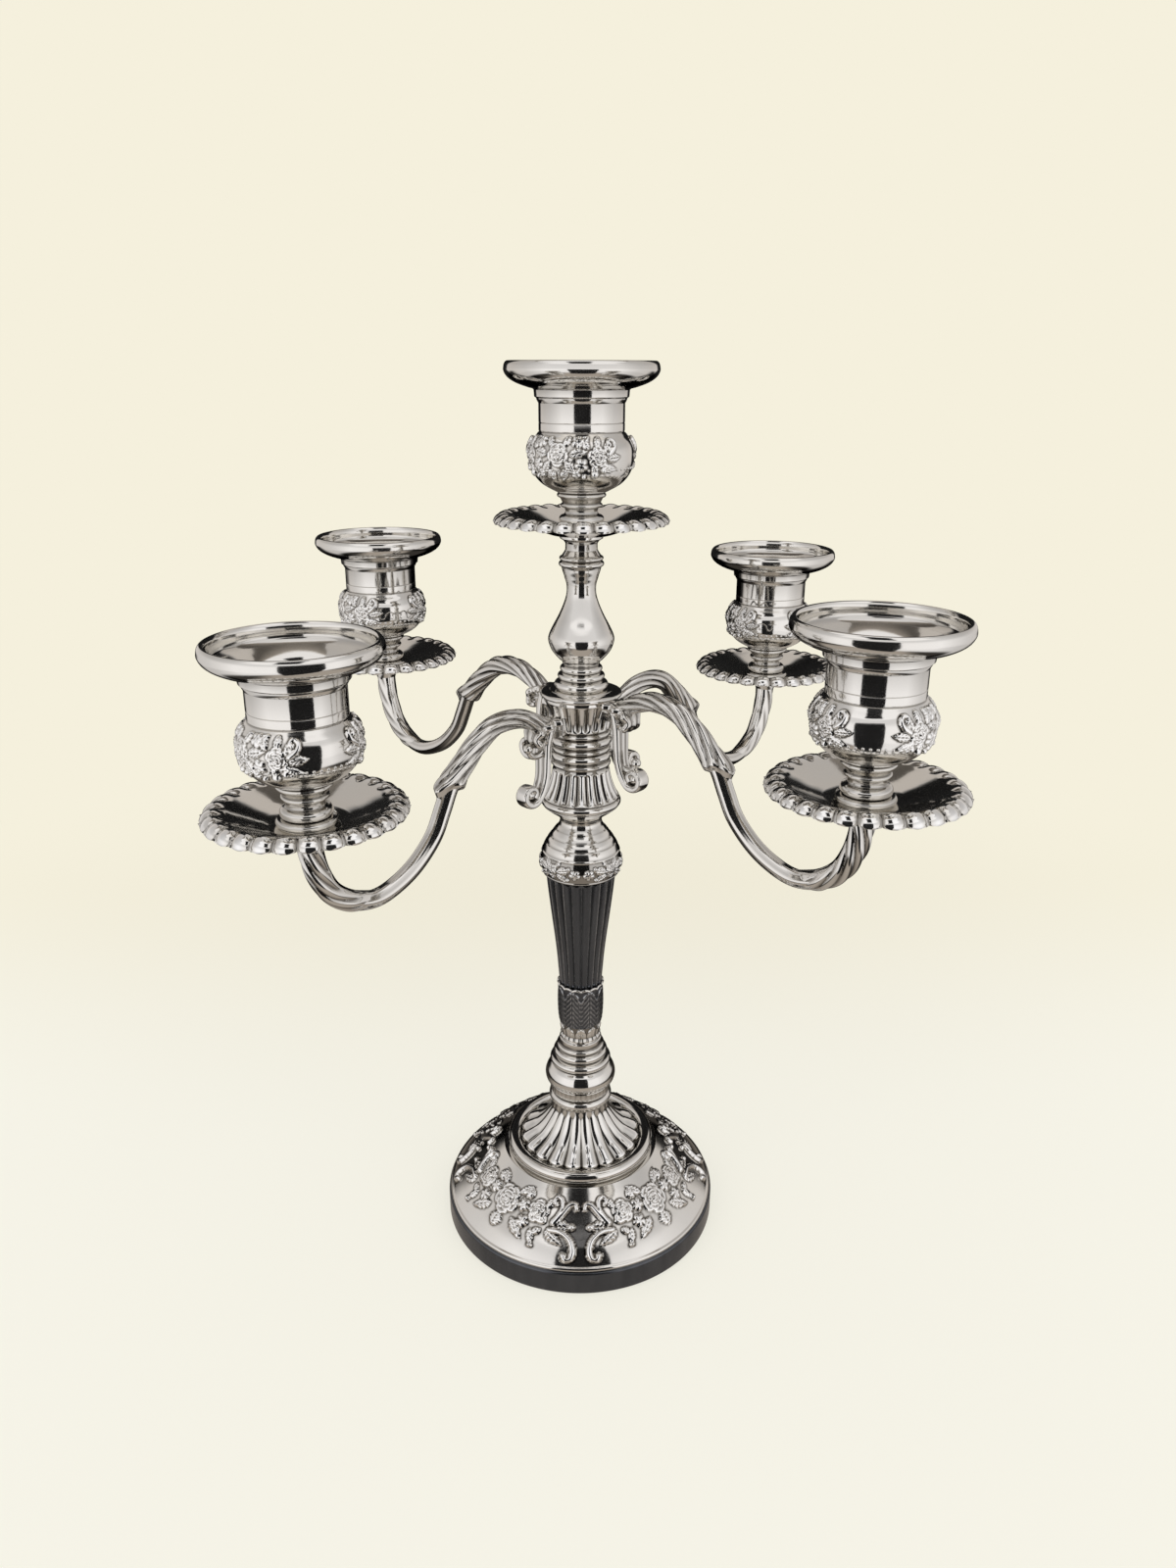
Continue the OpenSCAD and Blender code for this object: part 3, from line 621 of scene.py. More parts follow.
def makeFootRing():
    r, z = footShape["radius"], footShape["band"]
    path = closedPath([(44.1, 0.3), (44.8, 0.3), (r, 0.8), (r, 7.6), (44.9, 8.1), (44.4, z), (40.1, z),
                       (40.1, 2.3), (44.1, 2.3)], 0.25)
    ring = gridObject("footRing", spun(path, footShape["ringCols"]), gunmetal, closed=True)
    setPiece(ring, "frame", "gunmetal", "foot_ring")


# one half of a spray, in millimetres from its middle and up from the foot; the other half mirrors it
domeSpray = [
    ("rose", 0.0, 15.4, 4.9, 0.3), ("rose", 12.9, 16.0, 3.7, 0.9), ("leaf", 0.0, 10.6, -90, 4.9, 2.2),
    ("leaf", 4.6, 11.2, -43, 7.4, 1.6), ("leaf", 11.9, 10.6, -76, 5.4, 1.0), ("bump", 13.2, 5.7, 0.7),
    ("leaf", 3.4, 18.9, 38, 6.4, 1.4), ("leaf", 9.6, 19.4, 140, 4.4, 1.3), ("blossom", 7.0, 16.2, 2.3, 0.4),
    ("blossom", 8.6, 11.6, 2.2, 0.1), ("blossom", 7.6, 20.0, 1.7, 0.8), ("leaf", 15.6, 17.6, 62, 4.0, 1.2),
    ("leaf", 16.4, 13.6, 176, 4.4, 1.3), ("leaf", 16.6, 10.9, -34, 6.4, 1.5),
    ("leaf", 15.0, 11.2, -140, 3.6, 1.1), ("leaf", 18.2, 12.7, 2, 6.8, 2.0), ("bump", 24.6, 12.9, 1.0),
    ("strand", 0, 0, [(18.6, 13.6), (20.0, 16.1), (21.0, 18.6), (20.5, 20.8), (18.9, 21.5), (17.9, 20.3),
                      (18.7, 19.2)], 0.9, 0.75),
    ("strand", 0, 0, [(18.8, 13.8), (21.4, 17.0), (23.6, 19.4), (25.4, 19.7), (26.1, 18.6)], 1.3, 0.7),
    ("bump", 26.0, 18.4, 0.85),
    ("strand", 0, 0, [(17.8, 11.4), (21.2, 11.2), (24.0, 9.4), (25.2, 6.4), (24.8, 3.9), (23.4, 3.3),
                      (22.8, 4.5)], 0.9, 0.8),
    ("strand", 0, 0, [(-5.0, 11.6), (-7.6, 12.8), (-9.0, 15.0)], 0.6, 0.5)]
domeShape = {"lip": 25.9, "top": 24.8, "bead": 24.5, "beadSize": 2.1, "floor": 24.0, "web": 21.0,
             "wall": 2.0, "relief": 1.2, "sprays": 4, "phase": -46, "unroll": 35.0, "cols": 600}


def domePath():
    d, z = domeShape, footShape["band"]
    line = smooth([(43.7, z + 1.4), (41.0, z + 4.3), (38.0, z + 6.9), (34.0, z + 10.3), (30.0, z + 13.6),
                   (d["lip"], d["top"])], 18)
    inner = [(r - d["wall"], h - d["wall"]) for r, h in line[::6] if r < 40 and h - d["wall"] < d["web"]]
    top = bead(d["bead"] - d["beadSize"], d["floor"] + d["beadSize"], d["beadSize"], 18, -62, 242)
    path = closedPath([(44.4, z), (44.6, z + 0.4), (44.6, z + 0.8), (44.3, z + 1.2)] + line
                      + [(d["lip"] - 0.3, d["floor"]), (d["bead"] - 0.5, d["floor"])] + top
                      + [(20.6, d["floor"]), (3.2, d["floor"]), (3.2, d["web"]), (21.5, d["web"])]
                      + inner[::-1] + [(40.0, z)], 0.15)
    return refined(path, 0.31, 10.4, 24.4)


def makeDome():
    d, path = domeShape, domePath()
    grid = spun(path, d["cols"])
    along = lengthsAlong(path)
    end = np.argmin(np.hypot(path[:, 0] - d["lip"], path[:, 1] - d["top"]))
    height = np.zeros(grid.shape[:2])
    # the sprays lie on the rows between the foot's edge and the lip
    first = 3
    rows = slice(first + 1, end - 1)
    for k in range(d["sprays"]):
        away = awayFrom(bearings(d["cols"]), d["phase"] + k * 360 / d["sprays"])
        u = np.radians(away) * d["unroll"] + 0 * along[rows][:, None]
        v = (along[rows] - along[first])[:, None] + 0 * u
        height[rows] = np.maximum(height[rows], relief(np.abs(u), v, domeSpray))
    row = np.arange(len(path))[:, None]
    # painted shade round the sprays and in the hollows by the top bead
    recess = grooves(height, 2, 8.0) * (row < end) + creases(path, 1.2, 1.6, 20) * (row >= end - 2)
    dome = gridObject("domedBase", raised(grid, height * d["relief"]), silver, closed=True, sharp=60,
                      worked=height, recess=withPaintedHighlight(np.clip(recess, 0, 1), height))
    setPiece(dome, "frame", "silver_plate", "base_dome")


coneShape = {"ribs": 20, "deep": 1.6, "collar": 10.4, "torus": 1.85, "middle": 19.3, "top": 20.0, "turn": 9,
             "cols": 480}


def collarBead(middle, steps, start, end):
    # part of the round collar on the cone, which the baluster's foot goes on with
    c = coneShape
    return bead(c["collar"] - c["torus"], middle, c["torus"], steps, start, end)


def makeCone():
    c = coneShape
    wall = smooth([(18.7, 0.0), (18.8, 0.4), (19.8, 1.3), (20.1, 2.6), (19.6, 4.1), (17.7, 5.35), (15.2, 6.8),
                   (12.9, 9.0), (11.0, 11.6), (9.6, 14.4), (8.8, 17.0)], 5)
    rise = math.degrees(math.asin((c["top"] - c["middle"]) / c["torus"]))
    path = closedPath([(holes["rod"], 0.0)] + wall + collarBead(c["middle"], 12, -80, rise)
                      + [(holes["rod"], c["top"])])
    r, z = path[:, :1], path[:, 1:]
    # full at the foot, shallower up the wall, and none inside the hole
    rib = within(z, (-0.1, 0.7), (14.5, 16.9)) * (r > holes["rod"] + 0.15) * (0.3 + 0.7 * fall(z, 3, 12))
    # painted shade in the hollows between the rings
    cone = gridObject("ribbedCone", spun(path, c["cols"]), silver, closed=True, worked=rib, rib=rib,
                      recess=creases(path, 0.8, 3.0))
    seat(ribbed(cone, c["ribs"], c["deep"], 0.7), "base_cone", turn=c["turn"])


# column

def engraved(path, cols, low, high, count, depth):
    # a narrow engraved band between two heights: how deep it is, and how much painted shade lies in its
    # strokes
    z = path[:, 1:]
    inside = within(z, (low, low + 0.15), (high - 0.15, high))
    t = np.clip((z - low) / (high - low), 0, 1)
    wave = np.abs(np.sin(count * bearings(cols) / 2)) * np.sin(math.pi * t) ** 0.5
    return depth * inside * (wave ** 0.6 - 1), inside * (1 - wave ** 0.5)


balusterShape = {"band": (2.0, 4.4), "strokes": 36, "engraving": 0.4, "leaves": 10, "leafRaise": 0.6,
                 "leafTips": 23.6, "cols": 320}


def makeBaluster():
    b, c = balusterShape, coneShape
    middle = c["middle"] - c["top"]
    path = columnPath(
        collarBead(middle, 8, math.degrees(math.asin(-middle / c["torus"])), 68)
        + [(9.4, 1.5), (9.9, 1.75), (10.0, 2.0), (10.0, 4.4), (9.6, 4.75)]
        + smooth([(10.3, 5.1), (11.2, 5.9), (11.6, 7.6), (11.4, 9.0), (10.7, 10.6), (9.7, 11.7)], 6)
        + [(9.0, 12.0)] + bead(8.75, 13.35, 1.25, 12, -80, 80) + [(8.2, 14.9)]
        + bead(7.6, 16.25, 1.25, 12, -80, 80) + [(7.2, 17.8)] + bead(7.1, 18.6, 0.75, 8, -80, 80)
        + smooth([(7.0, 19.6), (6.9, 20.4), (6.9, 21.3)], 3) + [(6.5, 21.6)]
        + smooth([(6.5, 21.8), (5.9, 23.0), (5.75, 24.0), (6.2, 26.0), (6.4, 27.4)], 6))
    path = refined(path, 0.22, 21.6, 27.3)
    height, recess = engraved(path, b["cols"], *b["band"], b["strokes"], b["engraving"])
    # short leaves that stand round the neck, with round tips
    z, outside = path[:, 1:], path[:, :1] > 4
    u = (bearings(b["cols"]) / math.tau * b["leaves"]) % 1 - 0.5
    arch = fall((np.abs(u) * 2) ** 2 + np.clip((z - b["leafTips"]) / 3.6, 0, 1) ** 2, 0.9, 1.1)
    vein = 0.5 * np.exp(-(u / 0.05) ** 2)
    crown = 0.45 + 0.55 * np.sqrt(np.clip(1 - (2.1 * u) ** 2, 0, 1))
    zone = ramp(z, 21.9, 22.4) * outside
    height = height * outside + zone * b["leafRaise"] * arch * crown * (1 - vein)
    # painted shade in the engraved strokes, between the rings and round the leaves
    recess = (recess + creases(path, 0.9, 6.0)) * outside + zone * (1 - arch) * 0.8
    baluster = gridObject("lowerBaluster", raised(spun(path, b["cols"]), height), silver, closed=True,
                          worked=height, recess=np.clip(recess, 0, 1))
    seat(baluster, "baluster")


leafCupShape = {"leaves": 8, "height": 14.6, "raise": 0.5, "sunk": 0.2, "teeth": 3.6, "rim": 7.15,
                "wire": 0.42, "scallop": 0.5, "cols": 320}


def makeLeafCup():
    s, top = leafCupShape, leafCupShape["height"]
    path = columnPath([(6.4, 0.0)] + smooth([(6.45, 0.2), (6.8, 1.1), (7.1, 3.6), (7.25, 7.6), (7.2, 12.4),
                                             (7.3, 13.4)], 14) + [(7.5, 14.1), (7.3, top)], 0.1)
    angle = bearings(s["cols"])
    z = path[:, 1:] + 0 * angle
    outside = (path[:, :1] > 6.2) * ramp(z, 0.0, 0.3)
    height = np.zeros_like(z)
    # a row of short leaves and a row of tall ones between them
    for offset, reach, lift in ((0.5, 0.72, 0.7), (0.0, 0.95, 1.0)):
        u = (angle / math.tau * s["leaves"] + offset) % 1 - 0.5
        t = np.clip(z / (top * reach), 0, 1)
        half = 0.50 * np.sqrt(np.clip(1 - t ** 5, 0, 1)) * (1 + 0.07 * np.cos(z * s["teeth"]))
        across = np.abs(u) / np.maximum(half, 0.01)
        # a rounded face with a midrib and side veins
        face = (0.5 + 0.5 * np.sqrt(np.clip(1 - across ** 2, 0, 1)) - 0.25 * np.exp(-(u / 0.035) ** 2)
                + 0.06 * np.cos(z * s["teeth"] + 26 * np.abs(u)))
        height = np.maximum(height, np.where((across < 1) & (z < top * reach), lift * face, 0))
    height *= outside * fall(z, top - 0.7, top - 0.1)
    grid = raised(spun(path, s["cols"]), height * s["raise"] - s["sunk"] * outside)
    # the leaves' raised edges are worn bare, with a painted highlight on them
    cup = gridObject("leafCup", grid, gunmetal, closed=True, edge=grooves(-height, 2, 12.0) * outside)
    seat(cup, "leaf_cup", "gunmetal")


def makeLeafCupEdge():
    # the bright scalloped edge that the shaft stands in
    s = leafCupShape
    around = np.linspace(0, math.tau, 10, endpoint=False)[:, None]
    angle = bearings(s["cols"])
    r = s["rim"] + s["wire"] * np.cos(around)
    z = s["height"] - 0.5 + s["scallop"] * np.abs(np.sin(s["leaves"] * angle)) ** 0.7
    grid = np.stack([r * np.cos(angle), r * np.sin(angle), z + s["wire"] * np.sin(around)], -1)
    edge = moved(gridObject("leafCupEdge", grid, silver, closed=True), footOf("leaf_cup"))
    setPiece(edge, "frame", "silver_plate")


shaftShape = {"flutes": 22, "side": [(6.8, 0.0), (7.2, 5.0), (7.65, 10.6), (8.35, 17.0), (9.2, 23.8),
                                     (10.4, 34.0), (10.85, 38.7)], "deep": 0.7, "edge": 0.2, "cols": 528}


def makeShaft():
    s = shaftShape
    side = smooth(s["side"], 5)
    (low, bottom), (high, top) = side[0], side[-1]
    path = np.array([(holes["rod"], bottom), (low - s["edge"], bottom)] + side
                    + [(high - s["edge"], top), (holes["rod"], top)])
    shaft = gridObject("flutedShaft", spun(path, s["cols"]), gunmetal, closed=True, rib=path[:, :1] > 4)
    seat(ribbed(shaft, s["flutes"], s["deep"], 0.7, gunmetal, hollow=1.0), "fluted_shaft", "gunmetal")


knopSpray = [("rose", 0, 0, 2.3, 0.2), ("leaf", 2.0, 0.3, 14, 4.4, 1.4), ("leaf", -2.0, 0.3, 166, 4.4, 1.4),
             ("leaf", 1.8, -0.9, -24, 4.2, 1.2), ("leaf", -1.8, -0.9, 204, 4.2, 1.2),
             ("blossom", 7.6, -0.2, 1.8, 0.4), ("blossom", -7.6, -0.2, 1.8, 0.4), ("bump", 5.6, 1.7, 0.6),
             ("bump", -5.6, 1.7, 0.6), ("bump", 5.3, -2.0, 0.6), ("bump", -5.3, -2.0, 0.6),
             ("leaf", 1.2, 1.6, 50, 2.6, 0.9), ("leaf", -1.2, 1.6, 130, 2.6, 0.9)]
knopShape = {"sprays": 4, "phase": 45, "middle": 4.4, "unroll": 12.4, "raise": 0.75, "sunk": 0.3, "cols": 440}


def makeKnop():
    k = knopShape
    path = columnPath(
        [(10.7, 0.0)]
        + smooth([(10.9, 0.1), (11.7, 0.6), (12.3, 1.5), (12.75, 3.5), (12.85, 5.3), (12.5, 6.8),
                  (12.1, 8.2)], 8)
        + smooth([(11.8, 8.5), (11.5, 9.6), (11.0, 10.6)], 4)
        + smooth([(10.7, 10.8), (10.3, 11.8), (9.6, 12.8)], 4)
        + smooth([(9.3, 13.0), (8.8, 13.9), (8.0, 15.0)], 4)
        + smooth([(7.7, 15.2), (6.8, 16.5), (6.4, 17.8)], 4))
    path = refined(path, 0.24, 0.4, 8.2)
    z = path[:, 1:]
    band = within(z, (0.8, 1.2), (7.6, 8.0)) * (path[:, :1] > 9)
    height = np.zeros((len(path), k["cols"]))
    for n in range(k["sprays"]):
        away = awayFrom(bearings(k["cols"]), k["phase"] + n * 360 / k["sprays"])
        u = np.radians(away) * k["unroll"]
        height = np.maximum(height, relief(u + 0 * z, z - k["middle"] + 0 * u, knopSpray))
    # painted shade on the sunk ground round the relief, in its hollows and between the rings
    recess = band * (np.clip(1 - 2.6 * height, 0, 1) * 0.6 + grooves(height, 1, 8.0))
    recess = recess + creases(path, 1.0, 5.0)
    grid = raised(spun(path, k["cols"]), band * (k["raise"] * height - k["sunk"]))
    knop = gridObject("carvedKnop", grid, silver, closed=True, sharp=55, worked=band,
                      recess=withPaintedHighlight(np.clip(recess, 0, 1), height * band))
    seat(knop, "knop")


hubShape = {"ribs": 20, "rim": 12.2, "deep": 0.85, "cols": 480}


def makeHub():
    h = hubShape
    path = columnPath(
        [(6.2, 0.0)] + smooth([(6.3, 0.3), (7.2, 1.8), (9.6, 3.6), (11.3, 4.9)], 6)
        + [(11.6, 5.2)] + bead(h["rim"] - 1.2, 6.5, 1.2, 12, -75, 75)
        + [(11.4, 7.9)] + smooth([(11.6, 8.1), (10.3, 10.6), (9.2, 13.8), (8.6, 17.0)], 9)
        + [(8.4, 17.3), (8.3, 18.1)] + bead(8.35, 19.0, 0.7, 8, -80, 80) + [(8.2, 20.0)]
        + bead(8.0, 21.5, 1.25, 10, -80, 80) + [(8.1, 22.9)]
        + bead(8.3, 23.7, 0.6, 8, -80, 80) + [(8.2, 24.5)] + bead(8.1, 26.2, 1.25, 10, -80, 80)
        + [(8.1, 27.7)] + bead(8.4, 28.6, 0.6, 6, -80, 80) + [(8.2, 29.5)]
        + smooth([(8.6, 29.9), (9.1, 33.0), (10.1, 36.3), (10.8, 38.0)], 9)
        + [(11.1, 38.6), (11.1, 39.5), (7.5, 39.5), (7.5, 29.9)])
    z, outside = path[:, 1:], path[:, :1] > 7.7
    rib = outside * (within(z, (8.2, 9.0), (16.4, 17.2)) + within(z, (30.1, 30.9), (37.8, 38.4)))
    # painted shade in the hollows between the rings
    hub = gridObject("flutedHub", spun(path, h["cols"]), silver, closed=True, worked=rib, rib=rib,
                     recess=creases(path, 1.0, 3.5))
    seat(ribbed(hub, h["ribs"], h["deep"], 0.85), "hub_body")


def makeCap():
    path = columnPath([(11.5, 0.0), (12.1, 0.5), (12.2, 1.0), (11.9, 1.5), (11.2, 1.75), (9.4, 1.9),
                       (9.1, 2.2)], 0.25)
    seat(gridObject("hubCap", spun(path, 160), silver, closed=True), "hub_cap")


def makeStem():
    path = rounded(
        [(0.05, 12.4), (3.1, 12.4), (3.1, 0.0), (6.8, 0.0)] + bead(6.7, 1.4, 1.25, 10, -85, 85) + [(6.5, 2.8)]
        + bead(6.1, 4.0, 0.85, 8, -85, 85) + [(5.8, 5.1)] + bead(5.3, 6.2, 0.95, 8, -85, 85)
        + [(5.2, 7.4), (5.5, 7.9), (5.7, 8.5)]
        + smooth([(6.4, 9.0), (7.6, 10.3), (8.8, 12.0), (9.6, 14.4), (9.4, 16.2), (8.2, 18.8), (6.6, 21.8),
                  (5.2, 25.0), (4.3, 28.0), (4.25, 30.6), (4.8, 32.6)], 5)
        + smooth([(5.0, 33.4), (5.4, 34.6), (5.6, 35.4)], 3) + bead(5.7, 36.7, 0.78, 10, -82, 78)
        + [(5.65, 37.6)] + bead(5.8, 38.3, 0.5, 8, -80, 80)
        + smooth([(5.6, 39.0), (5.0, 39.9), (4.6, 40.6)], 3)
        + [(4.55, 42.4), (5.1, 43.2), (6.1, 43.8), (6.2, 44.3), (6.15, 44.9), (holes["stud"], 44.9),
           (holes["stud"], 38.4), (0.05, 38.4)], 0.12)
    # painted shade in the hollows between the rings
    stem = gridObject("upperStem", spun(path, 160), silver, recess=creases(path, 0.8, 3.5))
    seat(stem, "upper_stem", body="upper_stem")


# arms

armShape = {"reach": 95.5, "tube": 2.45, "ridges": 6, "ridge": 0.07, "sleeve": 3.45, "drop": 31.8,
            "crest": 6.0, "start": 12.5, "tip": -6.0, "collar": 4.4, "sleeveEnd": (51.4, -8.2),
            "wrapStart": (79.5, -31.6), "ringRadius": 7.1, "ringThick": 4.8, "spoke": 2.6}


class Line:
    # a path in the arm's plane that is read by its length
    def __init__(self, points):
        self.points = np.array(points, float)
        self.length = lengthsAlong(self.points)
        self.total = self.length[-1]

    def at(self, s):
        return tuple(np.interp(s, self.length, self.points[:, k]) for k in (0, 1))

    def lengthAt(self, x, z):
        return self.length[np.argmin(np.hypot(self.points[:, 0] - x, self.points[:, 1] - z))]

    def around(self, s, up, side):
        # points that lie so far up and to the side of the line, in millimetres
        near = 0.6
        x, z = self.at(s)
        x1, z1 = self.at(np.minimum(s + near, self.total))
        x0, z0 = self.at(np.maximum(s - near, 0))
        long = np.hypot(x1 - x0, z1 - z0)
        tx, tz = (x1 - x0) / long, (z1 - z0) / long
        return np.stack([x - tz * up, side + 0 * x, z + tx * up], -1)


def armLine():
    a = armShape
    s, e, c, d = a["start"], a["reach"], a["crest"], a["drop"]
    return Line(smooth([
        (a["ringRadius"] - 1, 0), (s, 0), (s + 3.6, c * 0.2), (s + 7.6, c * 0.56), (s + 12.5, c * 0.9),
        (s + 18, c), (s + 24, c * 0.8), (s + 29, c * 0.26), (e - 49.4, -d * 0.08), (e - 44.6, -d * 0.245),
        (e - 41.4, -d * 0.445), (e - 38, -d * 0.645), (e - 32, -d * 0.83), (e - 25.5, -d * 0.945),
        (e - 18.5, -d), (e - 11.5, -d * 0.955), (e - 5.3, -d * 0.815), (e - 1.8, -d * 0.62),
        (e - 0.2, -d * 0.42), (e, a["tip"] - 1.6)], 8))


def wrapped(line, s, angle, radius):
    # a tube round the line; angle 0 is its upper side
    return line.around(s, radius * np.cos(angle), radius * np.sin(angle))


sleeveShape = {"rows": 110, "cols": 96, "groove": 0.8, "edge": 0.35, "tipRoll": 1.5, "tipLift": 0.8,
               "inside": 0.25}


def leafSleeve(name, line, start, end, radii, strands, twist, tipLong, tipSide, roll, bare):
    # a leaf wrapped round the arm, with winding strands and a longer tip on one side; the
    # strands fade towards the tip's side over the range that bare gives
    shape = sleeveShape
    t = np.linspace(0, 1, shape["rows"])[:, None]
    a = bearings(shape["cols"])
    toTip = np.clip(np.cos(a - tipSide), 0, 1) ** 3
    s = start + (end - start + tipLong * toTip) * t
    body = radii[0] + (radii[1] - radii[0]) * t ** 1.4
    ridge = np.abs(np.cos((strands * a + twist * s) / 2)) ** 0.7
    fade = ramp(t, 0.0, 0.08) * (1 - ramp(np.cos(a - tipSide), *bare))
    radius = body - shape["groove"] * fade * (1 - ridge) * (1 - 0.35 * t)
    # the rolled edge, then back to the tube
    rolled = shape["edge"] * ramp(t, 0.86, 0.95) + shape["tipRoll"] * toTip ** 2 * ramp(t, 0.84, 1.0)
    radius = radius + roll * rolled
    closing = ramp(t, 0.80 + 0.155 * roll, 1.0)
    radius = (radius * (1 - closing) + (armShape["tube"] - shape["inside"]) * closing
              + shape["tipLift"] * roll * toTip ** 2 * closing)
    # painted shade in the grooves between the strands
    recess = np.clip((1 - ridge) ** 1.4 * fade * 1.3, 0, 0.85) * (1 - closing)
    return gridObject(name, wrapped(line, s, a, radius), silver, sharp=60, recess=recess)


def sweptTube(name, line, start, end, radius, ridges, ridge):
    # a tube with straight ridges
    count = 70
    x, z = line.at(np.linspace(start, end, count))
    tube = plainMesh(name, np.stack([x, 0 * x, z], -1) * mm, [], silver,
                     thickness=np.full(count, radius * mm), ridge=np.full(count, ridge))
    tube.data.edges.add(count - 1)
    links = np.stack([np.arange(count - 1), np.arange(1, count)], -1)
    tube.data.edges.foreach_set("vertices", links.ravel())
    tube.data.update()
    return applyTree(tube, sweep, 40, Sides=48, Ridges=ridges, Material=silver)


def ball(name, x, z, radius):
    angle = np.linspace(-math.pi / 2, math.pi / 2, 17)
    path = np.stack([np.maximum(radius * np.cos(angle), 1e-3), radius * np.sin(angle)], -1)
    return gridObject(name, spun(path, 24) + np.array([x, 0, z]), silver)


def ridgedBand(name, line, wide, thick):
    # a flat band along the line, with three ridges on its outer face
    t = np.linspace(0, 1, len(wide))[:, None]
    angle = bearings(64)
    across = np.sign(np.sin(angle)) * np.abs(np.sin(angle)) ** 0.6
    face = np.sign(np.cos(angle)) * np.abs(np.cos(angle)) ** 0.6
    ridge = np.abs(np.cos(2.5 * math.pi * across / 2)) ** 0.7
    up = face * thick[:, None] * (0.72 + 0.34 * ridge * (face > 0))
    grid = line.around(t * line.total, up, across * wide[:, None])
    # painted shade between the ridges of the outer face
    return gridObject(name, grid, silver, sharp=60,
                      recess=np.clip((1 - ridge) * (face > 0.5) * 1.2, 0, 0.8))


bracketShape = {"wide": 2.9, "thick": 1.55, "scroll": 3.4, "eye": (9.3, -18.4, 1.75), "bud": 1.45,
                "curl": (1.25, 0.8)}
rootLeafShape = {"wide": 4.2, "thick": 1.5, "lobes": 4, "lobe": 0.13}


def scrollBracket(name):
    # the band that hangs from the arm's root beside the hub, rolled up at its foot
    s, b = armShape["start"], bracketShape
    x, z, eye = b["eye"]
    roll = [(s + x + b["scroll"] * math.cos(a) * f, z + b["scroll"] * math.sin(a) * f)
            for a, f in zip(np.radians(np.linspace(-130, 220, 9)), np.linspace(1, 0.42, 9))]
    band = Line(smooth([(s + 1.6, 0.6), (s + 2.9, -4), (s + 3.2, -9), (s + 3.5, -14), (s + 4.9, -18.2)]
                       + roll, 6))
    t = np.linspace(0, 1, 110)
    return [ridgedBand(name + "Band", band, b["wide"] * (1 - 0.3 * t), b["thick"] * (1 - 0.25 * t)),
            ball(name + "Eye", s + x, z, eye)]


def rootLeaf(name):
    # the lobed leaf that lies on the arm's root and rolls under it
    s, r = armShape["start"], rootLeafShape
    line = Line(smooth([(s + 0.2, 2.0), (s + 3.4, 1.5), (s + 6.4, 0.3), (s + 7.6, -1.8), (s + 6.5, -3.6),
                        (s + 4.9, -3.4), (s + 4.6, -2.2)], 6))
    t = np.linspace(0, 1, 64)
    lobes = 1 + r["lobe"] * np.cos(math.tau * r["lobes"] * t)
    return ridgedBand(name + "Leaf", line, r["wide"] * (1 - 0.35 * t) * lobes, r["thick"] * (1 - 0.3 * t))


def budOnCurl(name, z):
    # a small bud on a curl at the side of the bracket
    s, (thick, thinner) = armShape["start"], bracketShape["curl"]
    curl = Line(smooth([(s + 2.6, z - 1.2), (s + 5.0, z - 2.8), (s + 7.8, z - 2.6), (s + 9.4, z - 0.6)], 6))
    t = np.linspace(0, 1, 24)[:, None]
    grid = wrapped(curl, t * curl.total, bearings(20), thick - (thick - thinner) * t)
    return [ball(name + "Bud", s + 9.4, z, bracketShape["bud"]), gridObject(name + "Curl", grid, silver)]


def makeArm(name, curlDrop):
    a, line = armShape, armLine()
    sleeveEnd, wrapStart = line.lengthAt(*a["sleeveEnd"]), line.lengthAt(*a["wrapStart"])
    back = Line(line.points[::-1])
    # the collar that the pan lies on
    outline = closedPath([(2.05, -4.6), (2.8, -4.4), (3.3, -3.4), (3.5, -2.0), (a["collar"], -1.3),
                          (a["collar"], -0.1), (2.05, -0.1)], 0.2) + np.array([0, a["tip"] + 0.1])
    collar = spun(outline, 64) + np.array([a["reach"], 0, 0])
    return joined(name + "Arm", [
        sweptTube(name + "Tube", line, sleeveEnd - 6, line.total, a["tube"], a["ridges"], a["ridge"]),
        leafSleeve(name + "Sleeve", line, line.lengthAt(a["start"] - 1.5, 0), sleeveEnd, (2.7, a["sleeve"]),
                   strands=7, twist=0.78, tipLong=3.4, tipSide=0.0, roll=1.0, bare=(1.5, 2)),
        leafSleeve(name + "Wrap", back, 0.6, back.total - wrapStart, (3.2, 2.8),
                   strands=6, twist=-0.85, tipLong=5.0, tipSide=math.pi, roll=0.0, bare=(0.2, 0.85)),
        ball(name + "Root", a["start"] + 1.8, 0.4, 3.0),
        gridObject(name + "Collar", collar, silver, closed=True),
        rootLeaf(name)] + scrollBracket(name) + budOnCurl(name, curlDrop))


def makeSpoke(name, side):
    # the bar that joins an arm to the ring, in a slot of the hub
    a = armShape
    half = a["ringThick"] / 2
    ends = sorted((side * (a["ringRadius"] - 1.5), side * (a["start"] + 1.5)))
    corners = [(x, y, z) for x in ends for y in (-a["spoke"], a["spoke"]) for z in (-half, half)]
    faces = [(0, 1, 3, 2), (4, 6, 7, 5), (0, 4, 5, 1), (2, 3, 7, 6), (0, 2, 6, 4), (1, 5, 7, 3)]
    return plainMesh(name + "Spoke", np.array(corners) * mm, faces, silver, recess=np.zeros(len(corners)))


